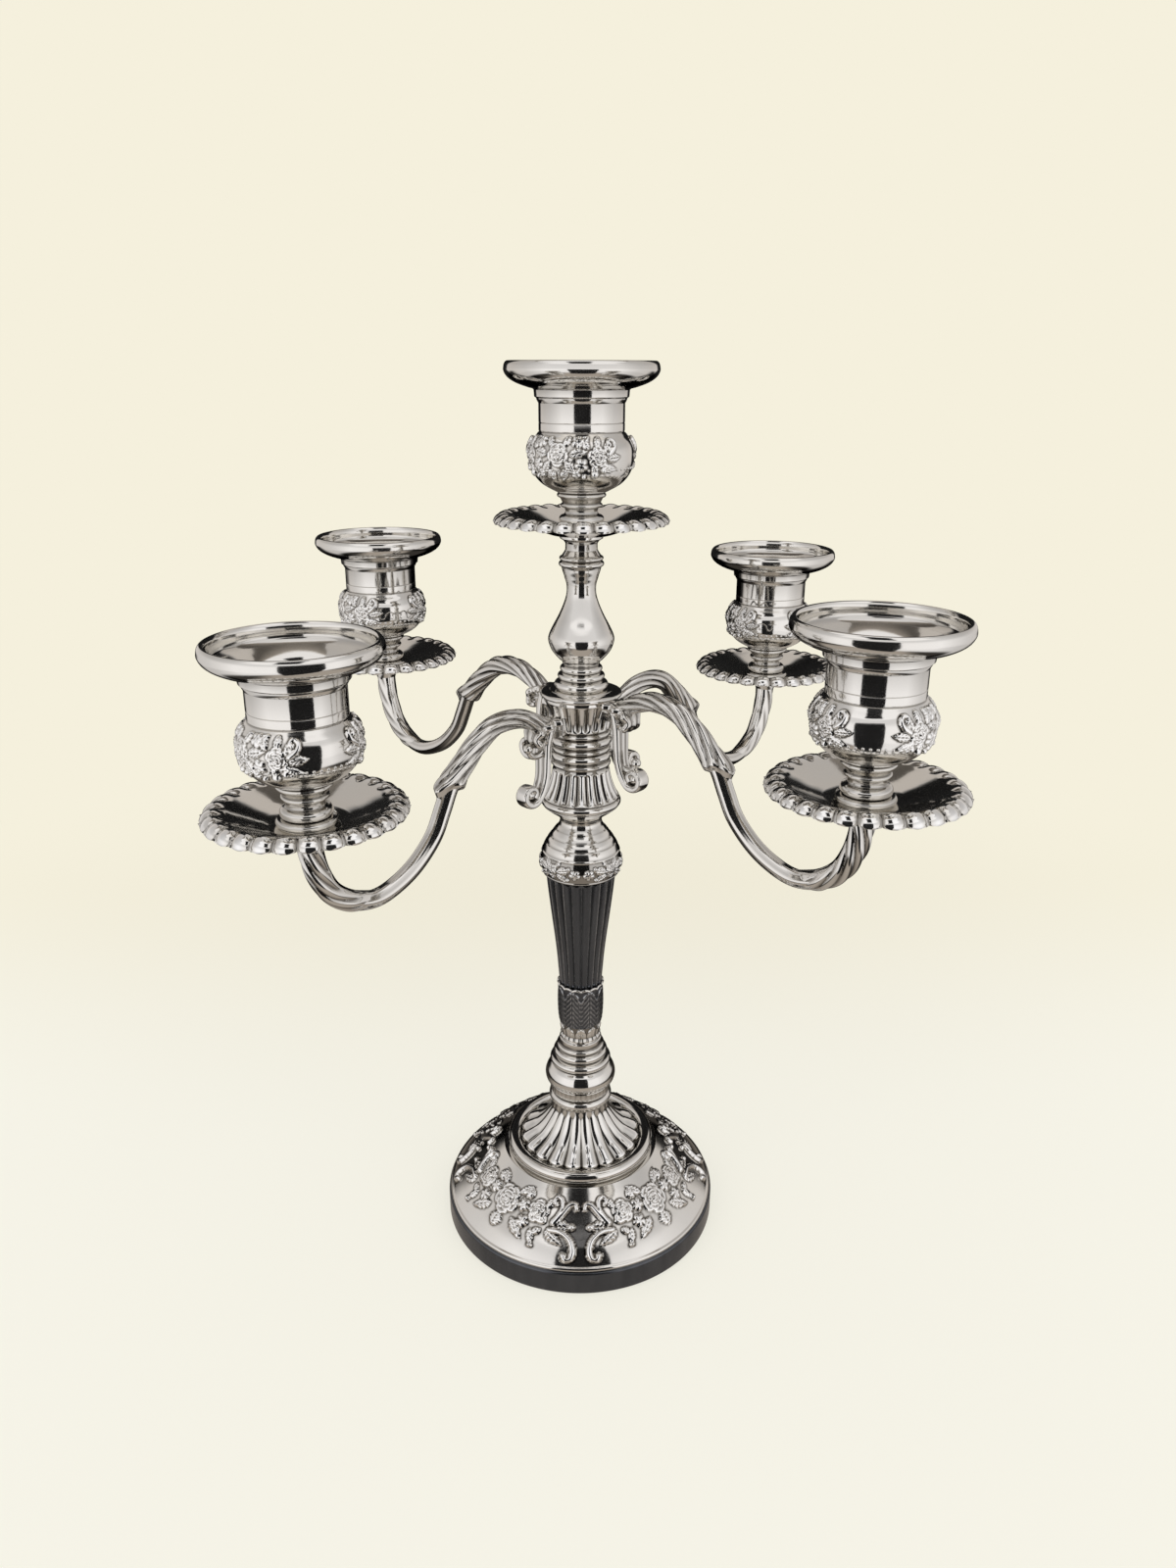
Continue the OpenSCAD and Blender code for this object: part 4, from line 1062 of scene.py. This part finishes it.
def makeArmPair(label, curlDrop, turn, below):
    # two arms on one ring, so many ring thicknesses below the hub's top
    part, a = "arm_pair_" + label, armShape
    arm = makeArm(part, curlDrop)
    other = arm.copy()
    other.data = arm.data.copy()
    bpy.context.scene.collection.objects.link(other)
    moved(other, Vector((0, 0, 0)), 180)
    half = a["ringThick"] / 2
    outline = closedPath([(holes["rod"], -half), (a["ringRadius"], -half), (a["ringRadius"], half),
                          (holes["rod"], half)], 0.3)
    ring = gridObject(part + "Ring", spun(outline, 96), silver, closed=True)
    whole = joined(label + "ArmPair", [arm, other, ring] + [makeSpoke(part, side) for side in (-1, 1)])
    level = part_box("hub_body")[1][2] - (half + a["ringThick"] * below) * mm
    moved(whole, Vector((0, 0, level)), turn)
    setPiece(whole, "frame", "silver_plate", part)


# drip pans and cups

panShape = {"lobes": 28, "deep": 1.05, "lip": 21.4, "lipHeight": 6.0, "thick": 1.0, "room": 0.02, "lean": 0.9,
            "cols": 448}


def makePan(where):
    p, part = panShape, "pan_" + where
    # a hair of room above and below, for the pan to turn in
    floor, ceiling = p["room"], p["thick"] - p["room"]
    top = smooth([(10.0, 1.5), (13.0, 2.6), (17.0, 4.3), (19.4, 5.4), (p["lip"], p["lipHeight"] + 0.15),
                  (23.2, 5.7), (24.3, 4.8), (24.75, 3.8)], 6)
    under = smooth([(24.6, 3.2), (23.9, 3.6), (22.9, 4.6), (p["lip"], 5.0), (19.4, 4.4), (16.6, 3.2),
                    (12.6, 1.4), (9.6, 0.3), (8.6, floor)], 4)
    path = closedPath([(holes["stud"], ceiling), (7.6, ceiling), (8.6, 1.15)] + top + under
                      + [(holes["stud"], floor)])[::-1]
    r = path[:, :1]
    rib = ramp(r, 18.6, 21.5)
    # the slits lean one way on each half of the pan
    lean = p["lean"] * ((r - 24.8) / 6) ** 2 * np.sin(bearings(p["cols"]))
    pan = gridObject(pieceName(part), spun(path, p["cols"]), silver, closed=True, worked=rib, rib=rib,
                     lean=lean)
    seat(ribbed(pan, p["lobes"], p["deep"], 0.5), part, body=part, turn=90)


# one half of a spray, in millimetres from its middle and up from the bowl's foot
cupSpray = [
    ("rose", 0.0, 13.3, 3.1, 0.2), ("rose", 11.6, 12.8, 2.8, 0.9), ("blossom", 5.9, 16.8, 2.0, 0.1),
    ("leaf", 2.4, 11.6, -52, 4.4, 1.3), ("leaf", 3.4, 13.2, 12, 5.2, 1.3), ("leaf", 6.4, 15.4, 50, 4.6, 1.2),
    ("blossom", 6.8, 10.6, 1.9, 0.5), ("leaf", 3.0, 9.6, -122, 4.0, 1.0), ("blossom", 5.4, 8.2, 1.3, 0.3),
    ("bump", 7.6, 7.6, 0.7), ("leaf", 10.4, 10.8, -76, 3.8, 1.0), ("leaf", 13.0, 11.0, -42, 3.8, 1.1),
    ("leaf", 11.4, 15.0, 82, 4.0, 1.0), ("leaf", 13.6, 14.4, 44, 3.8, 1.1), ("blossom", 15.4, 14.2, 1.4, 0.2),
    ("leaf", 8.8, 14.6, 118, 3.6, 1.1), ("leaf", 2.0, 15.4, 66, 3.8, 1.1), ("leaf", 14.2, 12.2, 6, 4.8, 1.2),
    ("leaf", 13.2, 10.4, -14, 4.8, 0.9), ("bump", 10.8, 8.1, 1.1), ("bump", 13.4, 9.2, 0.8),
    ("bump", 1.4, 8.2, 0.8),
    ("strand", 0, 0, [(14.6, 13.4), (16.4, 14.8), (16.8, 16.3), (15.7, 17.2), (14.8, 16.4), (15.3, 15.7)],
     0.7, 0.5)]
cupShape = {"neck": 11.8, "rim": 21.1, "floor": 18.1, "raise": 0.95, "unroll": 15.0, "sprayFoot": 1.3,
            "beads": 52, "beadRing": (14.0, 17.4), "beadSize": 0.42, "cols": 360}
cupTurns = {"centre": -118, "front_left": -143, "front_right": -16, "back_left": -154, "back_right": -6}


def cupPath(bowl):
    # the bowl's outline starts at the point that is given
    n, m, floor = cupShape["neck"], cupShape["rim"], cupShape["floor"]
    outer = (
        [(holes["cup"], 0.0), (7.0, 0.0)] + bead(6.75, 0.9, 0.83, 10, -70, 75) + [(6.2, 1.75)]
        + bead(5.1, 3.1, 1.36, 12, -76, 76) + [(5.0, 4.55)] + smooth([(4.75, 4.8), (4.6, 5.5), (4.8, 6.3)], 4)
        + bead(5.3, 7.05, 0.58, 8, -80, 80) + smooth([(5.4, 7.75), (5.7, 8.4), (6.0, 9.0)], 3)
        + bead(6.25, 9.8, 0.62, 8, -75, 70)
        + smooth([bowl, (7.9, 11.1), (11.0, 12.9), (13.1, 15.2), (14.1, 17.6), (14.4, 20.4), (14.25, 22.6),
                  (13.6, 24.3), (12.5, 25.8), (n + 0.2, 26.5)], 8)
        + [(n - 0.15, 26.7), (n, 27.0), (n, 28.9), (n - 0.16, 29.0), (n, 29.15), (n, 34.1)]
        + smooth([(n + 0.15, 34.3), (12.3, 35.0), (12.4, 35.4)], 3)
        + [(12.9, 35.7), (13.05, 37.5), (13.4, 37.8)]
        + smooth([(14.2, 37.95), (17.1, 38.9), (19.1, 39.9), (20.4, 41.0), (m, 42.3), (m, 43.2), (20.9, 44.1),
                  (20.4, 44.75), (19.9, 44.9)], 5))
    inner = (
        smooth([(19.5, 44.75), (19.2, 44.2), (19.05, 43.2), (18.95, 42.0), (18.8, 41.2)], 4)
        + [(18.4, 40.75)] + smooth([(16.9, 40.05), (14.6, 38.9), (12.6, 37.6), (11.3, 36.0)], 4)
        + [(11.1, 35.2), (11.1, floor), (holes["cup"], floor - 0.3), (holes["cup"], 6.5)])
    return refined(closedPath(outer + inner, 0.1), 0.26, 12.6, 26.6)


def makeCup(where):
    c, part = cupShape, "cup_" + where
    bowl = (6.6, 10.5)
    path = cupPath(bowl)
    along = lengthsAlong(path)
    start = np.argmin(np.hypot(path[:, 0] - bowl[0], path[:, 1] - bowl[1]))
    r, z = path[:, :1], path[:, 1:]
    outside = (r > 10.5) * within(z, (12.8, 13.2), (25.6, 26.2))
    up = (along - along[start])[:, None] - c["sprayFoot"]
    height = np.zeros((len(path), c["cols"]))
    for side in (0, 180):
        u = np.abs(np.radians(awayFrom(bearings(c["cols"]), side)) * c["unroll"]) + 0 * z
        height = np.maximum(height, relief(u, up + 0 * u, cupSpray))
    height *= outside
    # a little painted shade round the foot, under the bowl
    foot = 0.18 * fall(z, 9, 13.5) * (r < 11)
    # painted shade round the relief and between the rings, with the foot's
    recess = np.clip(grooves(height, 2, 7.0) + foot + creases(path, 0.8, 3.0) * (z < 44), 0, 1)
    name = pieceName(part)
    cup = gridObject(name, raised(spun(path, c["cols"]), height * c["raise"]), silver, closed=True, sharp=60,
                     worked=height, recess=withPaintedHighlight(recess, height))
    row = beadRow(name + "Beads", c["beads"], c["beadRing"][0], c["beadSize"], c["beadRing"][1])
    seat(joined(name, [cup, row]), part, body=part, turn=cupTurns[where])


# hidden fittings

def threaded(name, radius, length, pitch):
    perTurn, cols, taper, rounding = 6, 20, 0.8, 0.35
    z = np.linspace(0, length, int(length / pitch * perTurn) + 1)[:, None]
    a = bearings(cols)
    wave = np.abs(((z / pitch - a / math.tau) % 1) * 2 - 1)
    ends = within(z, (0, taper), (length - taper, length))
    r = radius - 0.02 - 0.5 * pitch * (1 - wave) * ends - rounding * (1 - ends)
    return gridObject(name, np.stack([r * np.cos(a), r * np.sin(a), z + 0 * a], -1), steel, sharp=80)


rodShape = {"radius": 3.0, "pitch": 1.0, "nutFlat": 5.0}
studShape = {"radius": 2.0, "pitch": 0.7, "length": 13.5, "below": 6.5}


def makeRods():
    r, s = rodShape, studShape
    seat(threaded("threadedRod", r["radius"], tallOf("tie_rod"), r["pitch"]), "tie_rod", "steel")
    seat(threaded("centreStud", s["radius"], tallOf("centre_stud"), s["pitch"]), "centre_stud", "steel",
         body="upper_stem")
    studs = []
    for where in cupTurns:
        if where != "centre":
            stud = threaded("stud", s["radius"], s["length"], s["pitch"])
            studs.append(moved(stud, footOf("pan_" + where) - Vector((0, 0, s["below"] * mm))))
    setPiece(joined("armStuds", studs), "frame", "steel", "arm_studs")


def makeNut():
    # six flats with chamfered corners
    a = bearings(96)
    flat = rodShape["nutFlat"] / np.cos((a + math.pi / 6) % (math.pi / 3) - math.pi / 6)
    rows = np.array([(3.05, 0.3), (3.3, 0.0), (4.7, 0.0), (5.77, 0.5), (5.77, 4.5), (4.7, 5.0), (3.3, 5.0),
                     (3.05, 4.7)])
    r = np.minimum(rows[:, :1], flat)
    grid = np.stack([r * np.cos(a), r * np.sin(a), rows[:, 1:] + 0 * a], -1)
    seat(gridObject("rodNut", grid, steel, closed=True, sharp=30), "rod_nut", "steel")


def makeBaseParts():
    washer = columnPath([(5.9, 0), (6.0, 0.2), (6.0, 1.3), (5.8, 1.5)], 0.2)
    seat(gridObject("rodWasher", spun(washer, 64), steel, closed=True), "rod_washer", "steel")
    plate = rounded([(0.05, 0.0), (30, 0.0), (31, 0.25), (33, 0.25), (34, 0.0), (43.4, 0.0), (43.7, 0.3),
                     (43.7, 0.8), (43.4, 1.0), (0.05, 1.0)], 0.3)
    seat(gridObject("basePlate", spun(refined(plate, 3.0), 96), steel), "base_plate", "steel")
    weight = closedPath([(10.0, 0.0), (39.2, 0.0), (39.7, 0.6), (39.5, 3.8), (38.6, 4.6), (11.0, 4.6),
                         (10.0, 3.8)], 0.5)
    seat(gridObject("baseWeight", spun(refined(weight, 1.5), 120), iron, closed=True), "base_weight", "iron")


for make in (makeFelt, makeFootRing, makeDome, makeCone):
    make()
print("foot made")
for make in (makeBaluster, makeLeafCup, makeLeafCupEdge, makeShaft, makeKnop, makeHub, makeCap, makeStem):
    make()
print("column made")
makeArmPair("lower", curlDrop=-4.4, turn=45, below=1)
makeArmPair("upper", curlDrop=-13.6, turn=135, below=0)
print("arms made")
for where in cupTurns:
    makePan(where)
    makeCup(where)
print("pans and cups made")
makeRods()
makeNut()
makeBaseParts()
print("fittings made")


# studio

studio = {"wall": (0.9131, 0.8714, 0.7230), "floor": (0.9647, 0.9473, 0.8469), "floorEnd": (0.03, 0.27),
          "horizon": 0.03, "shadowShare": 0.30, "shadowReach": (0.14, 0.50), "size": 14.0,
          "world": 0.55, "worldColour": (1.0, 0.985, 0.96, 1)}


def smoothFade(tree, value, start, end, first=0.0, last=1.0):
    inputs = {"Value": value, "From Min": start, "From Max": end, "To Min": first, "To Max": last}
    return add(tree, "ShaderNodeMapRange", inputs, interpolation_type="SMOOTHSTEP").outputs["Result"]


def seenDirectly(tree):
    # one for camera, glossy and transmission rays
    path = add(tree, "ShaderNodeLightPath").outputs
    total = path["Is Camera Ray"]
    for name in ("Is Glossy Ray", "Is Transmission Ray"):
        both = add(tree, "ShaderNodeMath", {0: total, 1: path[name]}, operation="ADD", use_clamp=True)
        total = both.outputs[0]
    return total


def shaderMix(tree, fac, first, second):
    return add(tree, "ShaderNodeMixShader", {"Fac": fac, 1: first, 2: second}).outputs[0]


def backdropColour(tree, coordinates, start, end):
    # the floor's colour in front and the wall's at the back
    y = add(tree, "ShaderNodeSeparateXYZ", {0: coordinates}).outputs["Y"]
    return mixed(tree, smoothFade(tree, y, start, end), studio["floor"], studio["wall"])


def emptyTree(block):
    block.use_nodes = True
    block.node_tree.nodes.clear()
    return block.node_tree


def stageObject(name, points, faces, material):
    mesh = bpy.data.meshes.new(name)
    mesh.from_pydata(np.asarray(points, float).tolist(), [], faces)
    mesh.materials.append(material)
    obj = bpy.data.objects.new(name, mesh)
    bpy.context.scene.collection.objects.link(obj)
    return obj


def makeFloor():
    material = bpy.data.materials.new("paleFloor")
    tree = emptyTree(material)
    place = add(tree, "ShaderNodeTexCoord").outputs["Object"]
    colour = backdropColour(tree, place, *studio["floorEnd"])
    glow = add(tree, "ShaderNodeEmission", {"Color": colour}).outputs[0]
    cloth = add(tree, "ShaderNodeBsdfDiffuse", {"Color": colour}).outputs[0]
    # the floor takes the shadow near the object and is plain further out
    away = add(tree, "ShaderNodeVectorMath", {0: place}, operation="LENGTH").outputs["Value"]
    share = smoothFade(tree, away, *studio["shadowReach"], studio["shadowShare"], 0.0)
    seen = shaderMix(tree, share, glow, cloth)
    add(tree, "ShaderNodeOutputMaterial", {"Surface": shaderMix(tree, seenDirectly(tree), cloth, seen)})
    s = studio["size"]
    stageObject("floor", [(-s, -s, 0), (s, -s, 0), (s, s, 0), (-s, s, 0)], [(0, 1, 2, 3)], material)


def makeWorld():
    world = bpy.data.worlds.new("studio")
    bpy.context.scene.world = world
    tree = emptyTree(world)
    place = add(tree, "ShaderNodeTexCoord").outputs["Generated"]
    colour = backdropColour(tree, place, -studio["horizon"], studio["horizon"])
    seen = add(tree, "ShaderNodeBackground", {"Color": colour})
    soft = add(tree, "ShaderNodeBackground", {"Color": studio["worldColour"], "Strength": studio["world"]})
    both = shaderMix(tree, seenDirectly(tree), soft.outputs[0], seen.outputs[0])
    add(tree, "ShaderNodeOutputWorld", {"Surface": both})


# the light tent that the metal mirrors, in metres and degrees; each row of its wall is a
# bearing (0 is the front), a brightness and a warmth, and the pairs are where a change starts and ends
tentWall = [(0, 0.99, 0.0), (30, 1.0, 0.0), (55, 1.0, 0.0), (72, 0.84, 0.05), (92, 0.70, 0.1),
            (120, 0.64, 0.3), (138, 0.66, 0.5), (142, 0.015, 0.0), (180, 0.010, 0.0)]
tent = {"radius": 0.48, "low": 0.0005, "high": 0.90, "eye": (0.24, 0.44), "eyeShade": 0.24,
        "backSides": (116, 132), "backLow": (0.11, 0.19), "backShade": 0.97, "paleLow": (0.56, 0.62),
        "frontEnd": (50, 75), "gap": ((-26, -22), (13, 17)), "gapLow": (0.65, 0.70), "gapShade": 0.98,
        "back": (140, 150), "backPale": 0.56, "backWarm": 0.6}
screen = {"left": -0.078, "right": 0.082, "y": -0.20,
          "rows": [(0.001, 0.012), (0.250, 0.012), (0.270, 0.30)]}
roof = {"height": 0.92, "half": 0.5, "front": (-0.14, -0.04), "frontLevel": 0.95,
        "gap": ((-0.20, -0.17), (0.10, 0.13)), "gapShade": 0.985, "back": (0.15, 0.40), "backLevel": 0.30,
        "backShade": 0.7, "overhead": ((-0.17, -0.10), (0.13, 0.20)), "overheadLevel": 0.92}
table = {"height": 0.0004, "level": 0.40, "sides": (0.10, 0.19), "back": (-0.01, 0.06), "shade": 0.90,
         "end": (0.24, 0.30), "farLevel": 0.9}


def blended(first, second, share):
    return first + (second - first) * share


def tinted(level, warm):
    cool = np.stack([level, level * 0.985, level * 0.99], -1)
    brown = np.stack([level, level * 0.89, level * 0.78], -1)
    return blended(cool, brown, warm[..., None])


def wallTint(bearing, height):
    t, b = tent, np.abs(bearing)
    level, warm = (np.interp(b, [row[0] for row in tentWall], [row[k] for row in tentWall]) for k in (1, 2))
    # greyer above eye level, and dark low down at the back and beside it
    level = level * (1 - t["eyeShade"] * ramp(height, *t["eye"]))
    level = level * (1 - t["backShade"] * ramp(b, *t["backSides"]) * fall(height, *t["backLow"]))
    # white high up in front, but for a dark gap in its middle
    level = blended(level, 1.0, ramp(height, *t["paleLow"]) * fall(b, *t["frontEnd"]))
    level = level * (1 - t["gapShade"] * within(bearing, *t["gap"]) * ramp(height, *t["gapLow"]))
    # pale above the dark part of the back
    back = ramp(height, *t["paleLow"]) * ramp(b, *t["back"])
    return tinted(blended(level, t["backPale"], back), blended(warm, t["backWarm"], back))


def roofTint(x, y):
    # white overhead and in front but for a gap, brown and then dark to the back
    r = roof
    front, overhead = fall(y, *r["front"]), within(y, *r["overhead"])
    level = (r["backLevel"] * (1 - r["backShade"] * ramp(y, *r["back"])) * (1 - front)
             + r["frontLevel"] * front * (1 - r["gapShade"] * within(x, *r["gap"])))
    return tinted(blended(level, r["overheadLevel"], overhead), (1 - front) * (1 - overhead))


def tableTint(x, y):
    # warm near the object, dark to both sides and behind, and like the walls further out
    t = table
    level = t["level"] * (1 - t["shade"] * ramp(np.abs(x), *t["sides"]))
    level = level * (1 - t["shade"] * ramp(y, *t["back"]))
    far = wallTint(np.degrees(np.arctan2(x, -y)), 0 * x) * t["farLevel"]
    return blended(tinted(level, 1 + 0 * x), far, ramp(np.hypot(x, y), *t["end"])[..., None])


def glowMaterial(name):
    material = bpy.data.materials.new(name)
    tree = emptyTree(material)
    tint = add(tree, "ShaderNodeAttribute", attribute_name="tint").outputs["Color"]
    glow = add(tree, "ShaderNodeEmission", {"Color": tint}).outputs[0]
    add(tree, "ShaderNodeOutputMaterial", {"Surface": glow})
    return material


def tentSheet(name, points, tints, material):
    # a sheet that only reflections show; points and tints are rows by columns
    rows, cols = points.shape[:2]
    faces = [[i * cols + j, i * cols + j + 1, (i + 1) * cols + j + 1, (i + 1) * cols + j]
             for i in range(rows - 1) for j in range(cols - 1)]
    sheet = stageObject(name, points.reshape(-1, 3), faces, material)
    layer = sheet.data.attributes.new("tint", "FLOAT_COLOR", "POINT")
    colours = np.concatenate([tints.reshape(-1, 3), np.ones((rows * cols, 1))], 1)
    layer.data.foreach_set("color", colours.astype(np.float32).ravel())
    sheet.visible_camera = False
    sheet.visible_shadow = False
    sheet.visible_diffuse = False


def makeTent():
    cloth = glowMaterial("tentCloth")
    heights = np.linspace(tent["low"], tent["high"], 61)
    z, bearing = np.meshgrid(heights, np.linspace(-180, 180, 721), indexing="ij")
    a = np.radians(bearing - 90)
    points = np.stack([tent["radius"] * np.cos(a), tent["radius"] * np.sin(a), z], -1)
    tentSheet("tentWall", points, wallTint(bearing, z), cloth)
    # a narrow dark screen in front of the object, paler at its top edge
    s = screen
    points = np.array([[(x, s["y"], z) for x in (s["left"], s["right"])] for z, level in s["rows"]])
    tints = np.array([[(level, level * 0.98, level)] * 2 for z, level in s["rows"]])
    tentSheet("tentScreen", points, tints, cloth)
    side = np.linspace(-roof["half"], roof["half"], 61)
    x, y = np.meshgrid(side, side, indexing="ij")
    tentSheet("tentRoof", np.stack([x, y, 0 * x + roof["height"]], -1), roofTint(x, y), cloth)
    tentSheet("tentTable", np.stack([x, y, 0 * x + table["height"]], -1), tableTint(x, y), cloth)


lampColour = (1.0, 0.99, 0.985)
sideLamp = {"distance": 1.3, "width": 1.1, "height": 1.3, "centre": 0.9, "radiance": 1.1}
topLamp = {"distance": 0.1, "width": 1.2, "height": 1.2, "centre": 1.7, "radiance": 0.8}
lampAim = Vector((0, 0, 0.12))


def softLamp(name, bearing, distance, width, height, centre, radiance):
    light = bpy.data.lights.new(name, "AREA")
    light.shape = "RECTANGLE"
    light.size, light.size_y = width, height
    light.energy = radiance * math.pi * width * height
    light.color = lampColour
    obj = bpy.data.objects.new(name, light)
    a = math.radians(bearing - 90)
    obj.location = (math.cos(a) * distance, math.sin(a) * distance, centre)
    obj.rotation_euler = (lampAim - obj.location).to_track_quat("-Z", "Y").to_euler()
    obj.visible_camera = False
    obj.visible_glossy = False
    bpy.context.scene.collection.objects.link(obj)


def makeStudio():
    makeWorld()
    makeFloor()
    makeTent()
    softLamp("lampLeft", -42, **sideLamp)
    softLamp("lampRight", 42, **sideLamp)
    softLamp("lampTop", 0, **topLamp)
    bpy.context.scene.view_settings.view_transform = "Standard"


# the place is in millimetres and the turns are in degrees
cameraSet = {"place": (-7.46, -319.06, 273.19), "yaw": 1.615, "pitch": 19.783, "roll": 0.213,
             "lens": 25.692075, "sensor": 36, "shift": (0.00125, -0.008875)}


def makeCamera():
    c = cameraSet
    yaw, pitch, roll = (math.radians(c[k]) for k in ("yaw", "pitch", "roll"))
    forward = Vector((math.sin(yaw) * math.cos(pitch), math.cos(yaw) * math.cos(pitch), -math.sin(pitch)))
    right = Vector((math.cos(yaw), -math.sin(yaw), 0))
    up = right.cross(forward)
    right, up = (math.cos(roll) * right + math.sin(roll) * up, math.cos(roll) * up - math.sin(roll) * right)
    camera = bpy.data.cameras.new("camera")
    camera.sensor_width = c["sensor"]
    camera.lens = c["lens"]
    camera.shift_x, camera.shift_y = c["shift"]
    camera.clip_start = 0.01
    obj = bpy.data.objects.new("camera", camera)
    turned = Matrix((right, up, -forward)).transposed().to_4x4()
    obj.matrix_world = Matrix.Translation(Vector(c["place"]) * mm) @ turned
    bpy.context.scene.collection.objects.link(obj)
    bpy.context.scene.camera = obj


makeStudio()
makeCamera()
print("studio ready")
